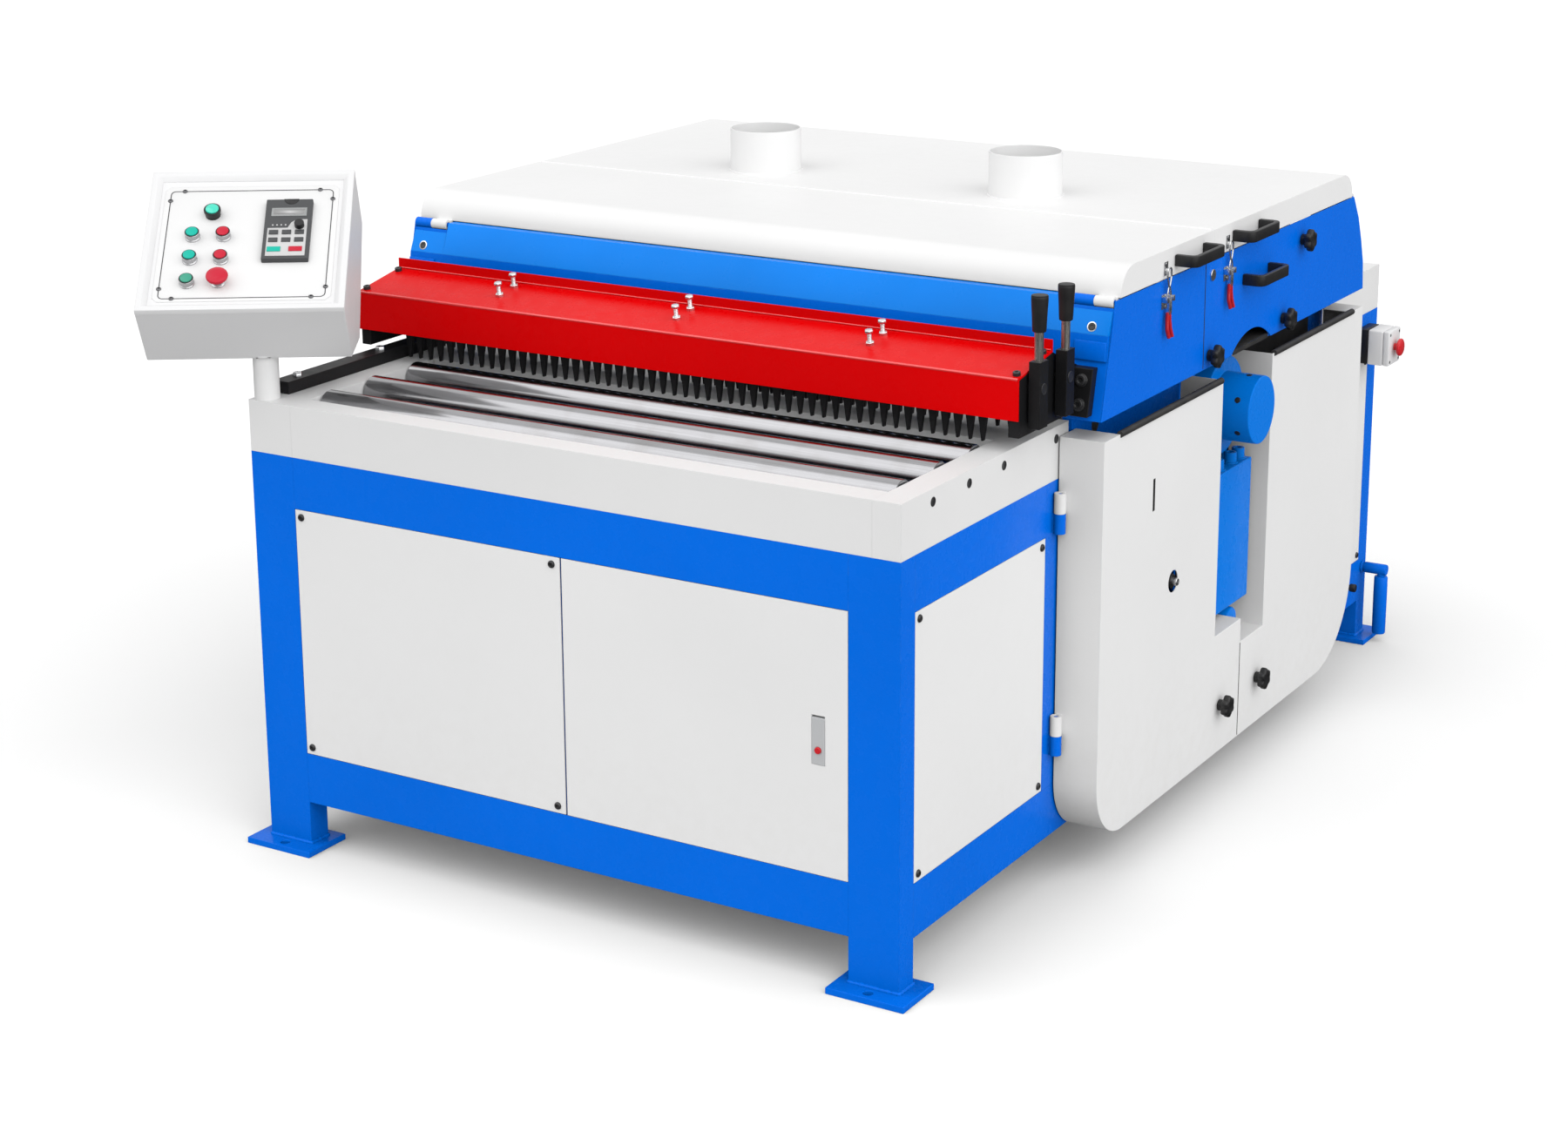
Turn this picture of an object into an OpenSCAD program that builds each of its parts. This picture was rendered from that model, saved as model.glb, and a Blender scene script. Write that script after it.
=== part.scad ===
// Multi rip saw: a welded tube frame carries a roller infeed table, two side walls with the
// saw spindle and feed rollers, a split hood with dust ports, lever-lifted stop fingers and a console.
// Millimetres, Z up, the operator stands on the -Y side, timber travels toward +Y.

/* [Frame] */
// Width across the welded frame
frame_w = 1400; // [1380:5:1420]
// Length of the frame from the operator side to the outfeed end
frame_d = 2240; // [2230:5:2270]
// Height of the table rim above the floor
table_h = 888; // [880:2:900]
// Height of the table rim bars
rim_h = 100; // [96:1:104]
// Wide side of the frame tube
leg_w = 100; // [96:1:104]
// Narrow side of the frame tube
leg_d = 50; // [46:1:54]
// Wall of the frame tube
tube_wall = 4; // [3:0.5:5]
// Height of the rails
rail_h = 100; // [96:1:104]
// Height of the lower rails above the floor
rail_lift = 98; // [94:1:102]
// Foot plate size across the machine
foot_w = 155; // [150:1:165]
// Foot plate size along the machine
foot_d = 110; // [100:1:120]
// Foot plate thickness
foot_t = 12; // [10:1:14]
// Reach of the foot plates past the frame ends
foot_over = 38; // [30:1:44]
// Reach of the foot plates past the frame sides
foot_side = 30; // [24:1:36]
// Radius of the floor anchor holes
anchor_r = 9; // [7:0.5:11]
// Front face of the middle posts, from the front of the frame
post_front = 540; // [530:2:546]

/* [Panels and door] */
// Thickness of the closing panels
panel_t = 3; // [2:0.5:4]
// Gap round the closing panels
panel_gap = 1; // [0.5:0.25:1.5]
// Place of the joint between the fixed front panel and the door
door_split = 10; // [0:1:20]
// Gap between the fixed front panel and the door
door_gap = 4; // [3:0.5:5]
// Length of the panel tabs
tab_l = 30; // [24:1:36]
// Thickness of the panel tabs
tab_t = 5; // [4:0.5:7]
// Radius of the panel screw heads
screw_head_r = 7; // [6:0.5:8]
// Height of the panel screw heads
screw_head_h = 3; // [2.5:0.5:4]
// Length of the door latch lever
latch_l = 82; // [76:1:90]
// Width of the door latch lever
latch_w = 26; // [22:1:30]
// Distance of the door latch from the door's free edge
latch_edge = 58; // [50:1:70]
// Radius of the push button in the door latch
latch_button_r = 6; // [5:0.5:7]

/* [Table] */
// Width of the left rim bar, which also carries the fence rail
bar_left = 100; // [94:1:104]
// Width of the right rim bar
bar_right = 55; // [50:1:60]
// Width of the front and rear rim bars
bar_front = 55; // [50:1:60]
// Radius of the table rollers
roller_r = 30; // [27:0.5:32]
// Depth of the roller axes below the rim
roller_drop = 23; // [21:0.5:25]
// Place of the first infeed roller behind the frame front
roller_first = 110; // [104:1:116]
// Spacing of the infeed rollers
roller_pitch = 130; // [124:1:134]
// Place of the outfeed roller before the frame rear
roller_last = 150; // [130:2:170]
// Radius of the roller axles
axle_r = 8; // [7:0.5:9]
// Depth of the axle ends inside the rim
axle_inset = 15; // [10:1:20]
// Width of the fence rail
fence_w = 40; // [36:1:44]
// Height of the fence rail
fence_h = 24; // [20:1:26]
// Rear end of the fence rail
fence_end = 560; // [540:2:566]
// Thickness of the bed plates
bed_t = 20; // [16:1:24]

/* [Walls, spindle and feed] */
// Thickness of the side walls
wall_t = 20; // [16:1:24]
// Length of the outfeed table behind the side walls
outfeed_d = 350; // [344:1:356]
// Rise of the side walls above the rim
wall_rise = 172; // [164:2:180]
// Offset of the spindle behind the middle of the side walls
spindle_off = 5; // [0:1:12]
// Depth of the spindle below the rim
spindle_drop = 110; // [106:1:114]
// Radius of the spindle
spindle_r = 35; // [32:0.5:38]
// Radius of the clamping sleeve that holds the blades
sleeve_r = 52; // [48:1:56]
// Half length of the clamping sleeve
sleeve_half = 330; // [320:5:340]
// Radius of the saw blades
blade_r = 178; // [174:1:182]
// Thickness of the saw blades
blade_t = 4; // [3:0.5:5]
// Number of saw blades
blade_count = 8; // [6:2:10]
// Number of teeth on a blade
blade_teeth = 24; // [20:2:28]
// Depth of the gullets between the teeth
gullet_r = 8; // [6:0.5:9]
// Radius of the bearing flange
flange_r = 100; // [96:1:104]
// Thickness of the bearing flange
flange_t = 35; // [30:1:38]
// Radius of the bearing cap
cap_r = 69; // [65:1:72]
// Reach of the bearing cap from the wall
cap_reach = 115; // [110:1:118]
// Width of the lifting block under the bearing
lift_w = 187; // [180:1:194]
// Reach of the lifting block from the wall
lift_t = 60; // [54:1:66]
// Depth of the lifting block's foot below the bearing flange
lift_h = 320; // [300:2:330]
// Gap between the lifting block and the bearing flange
lift_drop = 26; // [20:1:32]
// Width of the neck between the lifting block and the flange
neck_w = 120; // [110:2:130]
// Thickness of that neck
neck_t = 18; // [14:1:22]
// Distance of the feed rollers from the ends of the side walls
feed_in = 100; // [90:2:108]
// Radius of the driven feed rollers
feed_r = 40; // [37:1:43]
// Radius of the press rollers
press_r = 60; // [56:1:62]
// Gap between the driven and press rollers
feed_gap = 35; // [30:1:38]
// Radius of the feed roller journals
journal_r = 15; // [13:0.5:17]

/* [Hood] */
// Reach of the hood's sides beyond the frame
hood_reach = 88; // [82:1:96]
// Front foot of the hood
hood_front = 577; // [572:1:582]
// Front top edge of the hood's blue sides
hood_crest = 628; // [622:1:634]
// Reach of the hood's rear foot past the side walls
hood_over = 3; // [1:0.5:8]
// Run of the hood's bowed rear end
hood_bow = 77; // [72:1:82]
// Drop of the front end's apron below the tops of the side walls
apron_h = 53; // [40:1:60]
// Height of the hood's lower edge above the rim
hood_lift = 18; // [16:1:20]
// Height of the blue sides
hood_side_h = 212; // [206:1:216]
// Height of the white lid halves
lid_h = 54; // [50:1:58]
// Front edge of the front lid half
lid_front = 647; // [643:1:651]
// Distance of the joint between the lid halves before the spindle
lid_seam_in = 203; // [196:1:210]
// Distance of the rear lid half's edge from the top of the hood's rear end
lid_rear_in = 12; // [10:1:16]
// Thickness of the hood sheets
sheet_t = 3; // [2.5:0.5:4]
// Distance of the joint between the fixed right side and the side door before the spindle
side_seam_in = 240; // [236:1:244]
// Radius of the arch in the side door
arch_r = 163; // [158:1:168]
// Radius of the dust ports
port_r = 75; // [70:1:78]
// Height of the dust ports above the lid
port_h = 90; // [80:2:100]
// Wall of the dust ports
port_wall = 3; // [2:0.5:4]
// Step by which a port's neck in the lid is smaller than the port
port_neck = 1; // [0.5:0.1:1.2]
// Distance of the dust ports from the middle
port_x = 308; // [296:2:320]
// Place of the dust ports behind the lid joint
port_y = 155; // [145:1:165]
// Radius of the lid hinge knuckles
knuckle_r = 10; // [9:0.5:11]
// Length of a lid hinge knuckle
knuckle_l = 40; // [36:1:44]
// Radius of the hinge pins
pin_r = 5; // [4:0.5:6]

/* [Guard and fingers] */
// Half width of the finger guard
guard_half = 728; // [724:1:732]
// Front face of the guard
guard_front = 365; // [360:1:368]
// Height of the guard's lower edge above the rim
guard_low = 60; // [56:1:64]
// Height of the guard's front face
guard_face = 76; // [74:1:80]
// Depth of the guard's top
guard_deep = 130; // [126:1:134]
// Rise of the guard's top from front to rear
guard_rise = 24; // [22:1:28]
// Height of the guard's rear flange
guard_flange = 20; // [16:1:26]
// Thickness of the side arms that carry the guard
arm_t = 22; // [20:1:24]
// Height of the side arms' lower edge above the rim
arm_low = 28; // [26:1:30]
// Reach of the arms' mounting lugs to the outside
lug_w = 40; // [36:1:44]
// Thickness of the arms' mounting lugs
lug_t = 20; // [18:1:22]
// Height of the arms' mounting lugs
lug_h = 85; // [80:1:90]
// Place of the front finger shaft
finger_front = 410; // [408:1:412]
// Spacing of the two finger shafts
finger_gap = 105; // [103:1:107]
// Height of the finger shafts above the rim
finger_z = 112; // [110:0.5:113]
// Radius of the finger shafts
finger_shaft_r = 10; // [9:0.5:11]
// Length of the fingers below their shaft
finger_l = 108; // [105:0.5:108]
// Spacing of the fingers
finger_pitch = 25; // [24:0.5:26]
// Width of a finger
finger_w = 21; // [19:0.5:22]
// Thickness of a finger
finger_t = 8; // [7:0.5:9]
// Number of fingers in a row
finger_count = 52; // [48:2:54]
// Length of the pointed end of a finger
finger_point = 60; // [52:1:64]
// Width of a finger's tip
finger_tip = 4; // [3:0.5:6]
// Width of the lever blocks
block_w = 32; // [28:1:34]
// Thickness of the lever blocks
block_t = 22; // [20:1:24]
// Reach of a lever block above the shaft
block_up = 50; // [46:1:54]
// Reach of a lever block below the shaft
block_down = 70; // [64:1:72]
// Radius of the lever rods
lever_rod_r = 8; // [7:0.5:9]
// Length of the bare lever rods
lever_rod_l = 52; // [48:1:56]
// Length of the lever grips
lever_grip_l = 64; // [60:1:68]
// Radius of the lever grips at the top
lever_grip_r = 15; // [14:0.5:16]

/* [Side covers] */
// Gap between the side wall and the covers
cover_gap = 3; // [2:0.5:4]
// Outer face of the covers from the side wall
cover_reach = 92; // [88:1:94]
// Front edge of the front cover
cover_front = 584; // [582:1:588]
// Distance of the rear cover's edge from the walls' rear end
cover_rear_in = 2; // [0:1:6]
// Height of the covers' lower edge
cover_low = 88; // [84:1:92]
// Height of the covers' upper edge below the rim
cover_drop = 20; // [16:1:24]
// Distance of the joint between the covers' lower parts before the spindle
cover_seam_in = 13; // [8:1:18]
// Distance of the front cover's free upper edge before the spindle
front_edge_in = 146; // [140:1:152]
// Distance of the rear cover's free upper edge behind the spindle
rear_edge_in = 106; // [101:1:112]
// Depth of the front cover's step below the rim
front_step_drop = 546; // [542:1:552]
// Depth of the rear cover's step below the rim
rear_step_drop = 596; // [588:1:599]
// Lower corner radius of the front cover
cover_r_front = 115; // [105:1:125]
// Closed length of a belt cover's top at its hinge edge
cover_lip = 67; // [60:1:75]
// Lower corner radius of the rear cover
cover_r_rear = 200; // [190:1:204]
// Height of the lower cover hinges above the lower rails
hinge_rise = 102; // [90:1:114]
// Depth of the upper cover hinges below the rim bars
hinge_drop = 60; // [56:1:70]
// Radius of the cover hinge barrels
barrel_r = 11; // [10:0.5:11.5]
// Length of a cover hinge barrel
barrel_l = 38; // [34:1:42]
// Radius of the stud that shows through the front cover
stud_r = 14; // [12:0.5:16]
// Place of the stud behind the front cover's hinge edge
stud_in = 324; // [316:1:332]
// Height of the stud
stud_z = 518; // [510:1:526]
// Width of the slot in the front cover
slot_w = 10; // [8:0.5:12]
// Height of the slot in the front cover
slot_h = 63; // [58:1:68]
// Place of the slot behind the front cover's hinge edge
slot_in = 219; // [210:1:228]
// Depth of the slot below the front cover's upper edge
slot_drop = 122; // [116:1:128]
// Place of the front cover's knob before the cover joint
front_knob_in = 102; // [94:1:110]
// Place of the rear cover's knob behind the cover joint
rear_knob_in = 89; // [80:1:96]

/* [Handles, knobs and latches] */
// Length of the pull handles
handle_l = 142; // [136:2:148]
// Reach of the pull handles
handle_reach = 38; // [36:1:42]
// Radius of the pull handle bar
handle_r = 7; // [6:0.5:8]
// Start of the front lid's handle before the lid joint
front_handle_in = 187; // [180:1:194]
// Start of the rear lid's handle behind the lid joint
rear_handle_in = 86; // [84:1:92]
// Start of the side door's handle behind the side seam
door_handle_in = 181; // [174:1:188]
// Depth of the side door's handle below the hood's top
door_handle_drop = 68; // [64:1:72]
// Radius of the star knobs
knob_r = 20; // [18:0.5:22]
// Thickness of the star knobs
knob_t = 20; // [18:1:22]
// Radius of the star knob screws
knob_screw_r = 5; // [4:0.5:5.5]
// Width of the toggle latches
toggle_w = 22; // [20:1:26]
// Length of the toggle latch levers
toggle_l = 74; // [70:1:78]
// Reach of the toggle latch bails
bail_l = 58; // [56:0.5:59]
// Depth of the toggle latch pins below the hood's top
toggle_drop = 35; // [34:0.5:37]
// Place of the front toggle latch before the lid joint
toggle_front_in = 226; // [220:1:232]
// Place of the rear toggle latch behind the lid joint
toggle_rear_in = 64; // [60:1:66]

/* [Crank and stop box] */
// Radius of the crank rod
crank_r = 9; // [8:0.5:10]
// Reach of the crank beyond the leg
crank_reach = 48; // [44:1:54]
// Height of the crank shaft
crank_z = 175; // [170:1:180]
// Length of the crank arm
crank_l = 145; // [135:1:150]
// Height of the stop box
stop_h = 80; // [76:1:84]
// Width of the stop box along the machine
stop_w = 74; // [70:1:78]
// Depth of the stop box
stop_d = 64; // [60:1:68]
// Radius of the stop button's mushroom
stop_r = 20; // [18:0.5:22]

/* [Console] */
// Place of the console post from the frame's left side
post_in = 25; // [25:1:28]
// Radius of the console post
post_r = 24; // [22:0.5:24.5]
// Turn of the console about its post
console_yaw = 34; // [24:1:40]
// Width of the console
console_w = 380; // [372:1:388]
// Slope of the console face
console_tilt = 34; // [32:0.5:36]
// Length of the console face up the slope
console_face = 362; // [354:1:370]
// Reach of the console face in front of the post
console_nose = 130; // [126:1:136]
// Height of the console's nose above the rim
console_nose_z = 194; // [188:1:200]
// Height of the console's floor above the rim
console_floor = 84; // [80:1:88]
// Radius of the button caps
button_r = 11; // [10:0.5:12]
// Reach of the button caps from the face
button_h = 19; // [18:0.5:22]
// Radius of the console stop button's mushroom
mushroom_r = 18; // [16:0.5:20]
// Reach of the console stop button from the face
mushroom_h = 24; // [22:0.5:27]
// Keypad width
keypad_w = 87; // [82:1:92]
// Keypad length
keypad_l = 157; // [150:1:164]
// Keypad thickness
keypad_t = 12; // [10:0.5:14]

/* [Hidden] */
$fn = 64;
overrun = 1;
running_fit = 0.05;
body_gap = 0.3;
straight = 90;
full_turn = 360;
// Station lines shared by the pieces
side_x = frame_w / 2;
leg_x = side_x - leg_w;
rail_x = side_x - leg_d;
rim_z = table_h - rim_h;
low_top = rail_lift + rail_h;
up_z = rim_z - rail_h;
wall_y = post_front + leg_w;
wall_end = frame_d - outfeed_d;
wall_x = side_x - wall_t;
wall_top = table_h + wall_rise;
rear_leg_y = frame_d - leg_d;
rear_post_end = wall_end + leg_d;
roller_x0 = bar_left - side_x;
roller_x1 = side_x - bar_right;
roller_z = table_h - roller_drop;
roller_end_gap = 3;
bar_end_gap = 14;
bar_end = wall_y - bar_end_gap;
rim_hole_in = 50;
bed_in = 25;
bed_gap = 30;
fence_gap = 15;
fence_bolt_shares = [0.1, 0.6];
set_bolt_col_shares = [-0.584, -0.021, 0.549];
set_bolt_row_shares = [0.46, 0.83];
bolt_head_r = 9;
bolt_head_h = 7;
bolt_shank_r = 5;
bolt_shank_l = 22;
spindle_y = (wall_y + wall_end) / 2 + spindle_off;
spindle_z = table_h - spindle_drop;
feed_front = wall_y + feed_in;
feed_rear = wall_end - feed_in;
lift_lap = 20;
bore_end = 5;
feed_top = roller_z + roller_r;
feed_z = feed_top - feed_r;
press_z = feed_top + feed_gap + press_r;
hood_half = side_x + hood_reach;
hood_z = table_h + hood_lift;
hood_top = hood_z + hood_side_h;
hood_rear = wall_end + hood_over;
hood_back = hood_rear - hood_bow;
lid_rear = hood_back - lid_rear_in;
lid_seam = spindle_y - lid_seam_in;
side_seam = spindle_y - side_seam_in;
lid_gap = 2;
lid_z = hood_top + lid_gap;
lid_top = lid_z + lid_h;
hood_lean = (hood_crest - hood_front) / hood_side_h;
sheet_in = hood_half - sheet_t;
plate_t = 4;
sole_t = 6;
sole_gap = 3;
tail_run_shares = [0, 0.08, 0.3, 0.58, 1];
tail_rise_shares = [0, 0.29, 0.53, 0.77, 1];
cover_x0 = side_x + cover_gap;
cover_x1 = side_x + cover_reach;
cover_top = table_h - cover_drop;
cover_rear = wall_end - cover_rear_in;
cover_seam = spindle_y - cover_seam_in;
cover_up_front = spindle_y - front_edge_in;
cover_up_rear = spindle_y + rear_edge_in;
cover_step_front = table_h - front_step_drop;
cover_step_rear = table_h - rear_step_drop;
cover_knob_share = 0.495;
cover_knob_z = cover_low + cover_knob_share * (cover_step_rear - cover_low);
stud_y = cover_front + stud_in;
cover_sheet = 2;
stud_gap = 8;
hinge_out = 12;
hinge_x = side_x + hinge_out;
hinge_front_y = cover_front - hinge_out;
hinge_rear_y = cover_rear + hinge_out;
hinge_zs = [low_top + hinge_rise, rim_z - hinge_drop];
pin_short = 2;
pin_l = barrel_l - pin_short;
knob_lobes = 6;
knob_core_share = 0.75;
knob_lobe_share = 0.25;
front_knob_y = cover_seam - front_knob_in;
rear_knob_y = cover_seam + rear_knob_in;
door_knob_in = 25;
door_knob_low = 25;
door_knob_back = 159;
door_knob_far = 251;
door_knob_high = 171;
door_pivot_in = 10;
door_pivot_back = 8;
pivot_r = 4;
pivot_l = 3;
lid_axis_drop = 4;
lid_axis_z = hood_top - lid_axis_drop;
lid_axis_out = 14;
front_axis_y = lid_front - lid_axis_out;
rear_axis_y = lid_rear + lid_axis_out;
hinge_left = -sheet_in;
hinge_right = sheet_in - knuckle_l - knuckle_l;
toggle_z = hood_top - toggle_drop;
toggle_out = 8;
toggle_pin_r = 2.5;
toggle_eye_r = 5;
toggle_plate_t = 5;
toggle_wire = 1.5;
toggle_tongue_share = 0.25;
toggle_grip_share = 0.2;
toggle_x = hood_half + toggle_out;
toggle_front_y = lid_seam - toggle_front_in;
toggle_rear_y = lid_seam + toggle_rear_in;
guard_z = table_h + guard_low;
guard_top = guard_z + guard_face;
guard_back = guard_front + guard_deep;
arm_x = guard_half - arm_t;
arm_z = table_h + arm_low;
arm_front_in = 3;
shaft_z = table_h + finger_z;
finger_rear = finger_front + finger_gap;
lever_gap = 5;
lever_x = guard_half + lever_gap;
grip_taper_share = 0.8;
lug_screw_shares = [0.25, 0.75];
lug_head_r = 10;
cap_head_h = 7;
post_x = post_in - side_x;
post_y = post_in;
fence_x = tube_wall - side_x;
fence_y = post_y + post_r + fence_gap;
post_rise = 122;
console_shift = -25;
console_slope_y = console_face * cos(console_tilt);
console_slope_z = console_face * sin(console_tilt);
console_chin = 100;
console_tail = 95;
console_tail_drop = 115;
console_heel = 120;
console_wall = 2;
console_boss_r = 34;
console_boss_l = 48;
face_y = -console_nose;
face_z = table_h + console_nose_z;
button_col_shares = [-0.268, -0.118];
button_row_shares = [0.204, 0.37, 0.536];
button_cols = button_col_shares * console_w;
button_rows = button_row_shares * console_face;
gland_x = 100;
gland_y = 60;
stem_r = 8;
stem_in = 12;
button_gap = 7;
keypad_x = 30;
keypad_v = 124;
dial_r = 9;
dial_h = 11;
dial_x = 96;
dial_v = 208;
stop_y = frame_d - leg_d - stop_w;
stop_plate = 11;
stop_drop = 6;
stop_z = up_z - stop_drop;
bracket_in = 5;
crank_y = frame_d - leg_d / 2;
crank_tail = 5;
collar_over = 5;
collar_t = 5;
// Outer reach of the object, which sets its origin at the middle of its footprint
reach_right = hood_half + handle_reach + handle_r;
reach_left = post_x + (console_shift - console_w / 2) * cos(console_yaw)
    - (console_slope_y - console_nose + console_tail) * sin(console_yaw);
reach_front = post_y + (console_shift - console_w / 2) * sin(console_yaw)
    - console_nose * cos(console_yaw);
reach_rear = frame_d + foot_over;
origin_x = (reach_right + reach_left) / 2;
origin_y = (reach_rear + reach_front) / 2;
blue = [0.0, 0.28, 0.75];
white = [0.92, 0.92, 0.9];
black = [0.06, 0.06, 0.06];
red = [0.8, 0.03, 0.03];
steel = [0.7, 0.71, 0.72];
green = [0.05, 0.6, 0.4];
grey = [0.45, 0.46, 0.47];

// Shared shapes

// Box between two limits on each axis
module slab(x, y, z) {
    translate([x[0], y[0], z[0]])
        cube([x[1] - x[0], y[1] - y[0], z[1] - z[0]]);
}

// Round bars along each axis
module bar_x(r, x, y, z) {
    translate([x[0], y, z])
        rotate([0, straight, 0])
            cylinder(r = r, h = x[1] - x[0]);
}

module bar_y(r, x, y, z) {
    translate([x, y[0], z])
        rotate([-straight, 0, 0])
            cylinder(r = r, h = y[1] - y[0]);
}

module bar_z(r, x, y, z) {
    translate([x, y, z[0]])
        cylinder(r = r, h = z[1] - z[0]);
}

// Outline in the YZ plane drawn out along X
module along_x(x) {
    translate([x[0], 0, 0])
        rotate([straight, 0, straight])
            linear_extrude(x[1] - x[0])
                children();
}

// Copy on both sides of the machine
module both_sides() {
    children();
    mirror([1, 0, 0])
        children();
}

// Outline with every edge moved inward by t
function inset(p, t) = [for (i = [0 : len(p) - 1])
    let (n = len(p), a = p[(i + n - 1) % n], b = p[i], c = p[(i + 1) % n],
        u = (b - a) / norm(b - a), v = (c - b) / norm(c - b),
        m = [-u[1], u[0]], k = [-v[1], v[0]])
    b + t * (m + k) / (1 + m * k)];

// Rectangular tube, open along one axis
module tube_z(x, y, z) {
    difference() {
        slab(x, y, z);
        slab([x[0] + tube_wall, x[1] - tube_wall], [y[0] + tube_wall, y[1] - tube_wall],
            [z[0] - overrun, z[1] + overrun]);
    }
}

module tube_x(x, y, z) {
    difference() {
        slab(x, y, z);
        slab([x[0] - overrun, x[1] + overrun], [y[0] + tube_wall, y[1] - tube_wall],
            [z[0] + tube_wall, z[1] - tube_wall]);
    }
}

module tube_y(x, y, z) {
    difference() {
        slab(x, y, z);
        slab([x[0] + tube_wall, x[1] - tube_wall], [y[0] - overrun, y[1] + overrun],
            [z[0] + tube_wall, z[1] - tube_wall]);
    }
}

// Pull handle with its bar along Y, standing on the face x
module pull_handle(x, y, z) {
    ends = [y + handle_r, y + handle_l - handle_r];
    bar_y(handle_r, x + handle_reach, ends, z);
    for (e = ends) {
        bar_x(handle_r, [x, x + handle_reach], e, z);
        translate([x + handle_reach, e, z])
            sphere(r = handle_r);
    }
}

// Star knob on the face x with its screw reaching inward
module star_knob(x, y, z, screw) {
    neck = [x + body_gap, x + body_gap + knob_t / 2];
    bar_x(knob_screw_r, [x - screw, neck[0]], y, z);
    bar_x(knob_r / 2, neck, y, z);
    translate([neck[1], y, z])
        rotate([straight, 0, straight])
            linear_extrude(knob_t / 2) {
                circle(r = knob_r * knob_core_share);
                for (i = [0 : knob_lobes - 1])
                    rotate(i * full_turn / knob_lobes)
                        translate([knob_r * knob_core_share, 0])
                            circle(r = knob_r * knob_lobe_share);
            }
}

// Place of the object in its own frame
module machine() {
    translate([-origin_x, -origin_y, 0])
        children();
}

// Welded frame

// Plates under the four legs, each with an anchor hole
module foot_plates() {
    x = [side_x + foot_side - foot_w, side_x + foot_side];
    ys = [[-foot_over, foot_d - foot_over], [frame_d + foot_over - foot_d, frame_d + foot_over]];
    hole_ys = [-foot_over / 2, frame_d + foot_over / 2];
    color(blue) machine() both_sides()
        for (i = [0, 1])
            difference() {
                slab(x, ys[i], [0, foot_t]);
                bar_z(anchor_r, side_x - leg_w / 2, hole_ys[i], [-overrun, foot_t + overrun]);
            }
}

// Panel tabs that stand off a post along Y
module side_tabs(y) {
    for (z = [low_top + panel_gap, up_z - tab_l - panel_gap])
        slab([side_x - panel_t - tab_t, side_x - panel_t], y, [z, z + tab_l]);
}

// Panel tabs that stand off a leg along X
module end_tabs(y) {
    for (z = [low_top + panel_gap, up_z - tab_l - panel_gap])
        slab([leg_x - tab_l, leg_x], y, [z, z + tab_l]);
}

// Fixed lower half of a cover hinge, with its pin
module hinge_stub(y) {
    for (z = hinge_zs) {
        slab([side_x - tube_wall, hinge_x], [y - barrel_r / 2, y + barrel_r / 2],
            [z - barrel_l, z - body_gap]);
        bar_z(barrel_r, hinge_x, y, [z - barrel_l, z - body_gap]);
        bar_z(pin_r, hinge_x, y, [z - barrel_l, z + pin_l]);
    }
}

// Legs, side posts and the mullion beside the door
module frame_legs() {
    color(blue) machine() {
        both_sides() {
            tube_z([leg_x, side_x], [0, leg_d], [foot_t, rim_z]);
            side_tabs([leg_d, leg_d + tab_l]);
            end_tabs([panel_t, panel_t + tab_t]);
        }
        difference() {
            both_sides() {
                tube_z([leg_x, side_x], [rear_leg_y, frame_d], [foot_t, rim_z]);
                side_tabs([rear_leg_y - tab_l, rear_leg_y]);
                end_tabs([frame_d - panel_t - tab_t, frame_d - panel_t]);
            }
            bar_x(crank_r + running_fit, [leg_x - overrun, side_x + overrun], crank_y, crank_z);
        }
        both_sides() {
            tube_z([rail_x, side_x], [post_front, wall_y], [low_top, rim_z]);
            side_tabs([post_front - tab_l, post_front]);
            tube_z([rail_x, side_x], [wall_end, rear_post_end], [low_top, rim_z]);
            side_tabs([rear_post_end, rear_post_end + tab_l]);
        }
        hinge_stub(hinge_front_y);
        hinge_stub(hinge_rear_y);
        tube_z([door_split - leg_d, door_split - door_gap], [panel_t, panel_t + leg_d],
            [low_top, up_z]);
    }
}

// Lower and upper rails between the legs and posts
module frame_rails() {
    lows = [rail_lift, low_top];
    ups = [up_z, rim_z];
    color(blue) machine() {
        difference() {
            for (z = [lows, ups])
                tube_x([-leg_x, leg_x], [0, leg_d], z);
            bar_z(pivot_r + running_fit, door_split + door_pivot_in, door_pivot_back,
                [low_top - tube_wall - overrun, up_z + tube_wall + overrun]);
        }
        for (z = [lows, ups])
            tube_x([-leg_x, leg_x], [rear_leg_y, frame_d], z);
        both_sides() {
            tube_y([rail_x, side_x], [leg_d, rear_leg_y], lows);
            tube_y([rail_x, side_x], [leg_d, post_front], ups);
            tube_y([rail_x, side_x], [rear_post_end, rear_leg_y], ups);
        }
    }
}

// Screwed-on panels: front left, both sides at the front and rear, and the outfeed end
module fixed_panels() {
    z = [low_top + panel_gap, up_z - panel_gap];
    color(white) machine() {
        slab([panel_gap - leg_x, door_split - door_gap / 2], [0, panel_t], z);
        slab([panel_gap - leg_x, leg_x - panel_gap], [frame_d - panel_t, frame_d], z);
        both_sides() {
            slab([side_x - panel_t, side_x], [leg_d + panel_gap, post_front - panel_gap], z);
            slab([side_x - panel_t, side_x], [rear_post_end + panel_gap, rear_leg_y - panel_gap], z);
        }
    }
}

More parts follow.
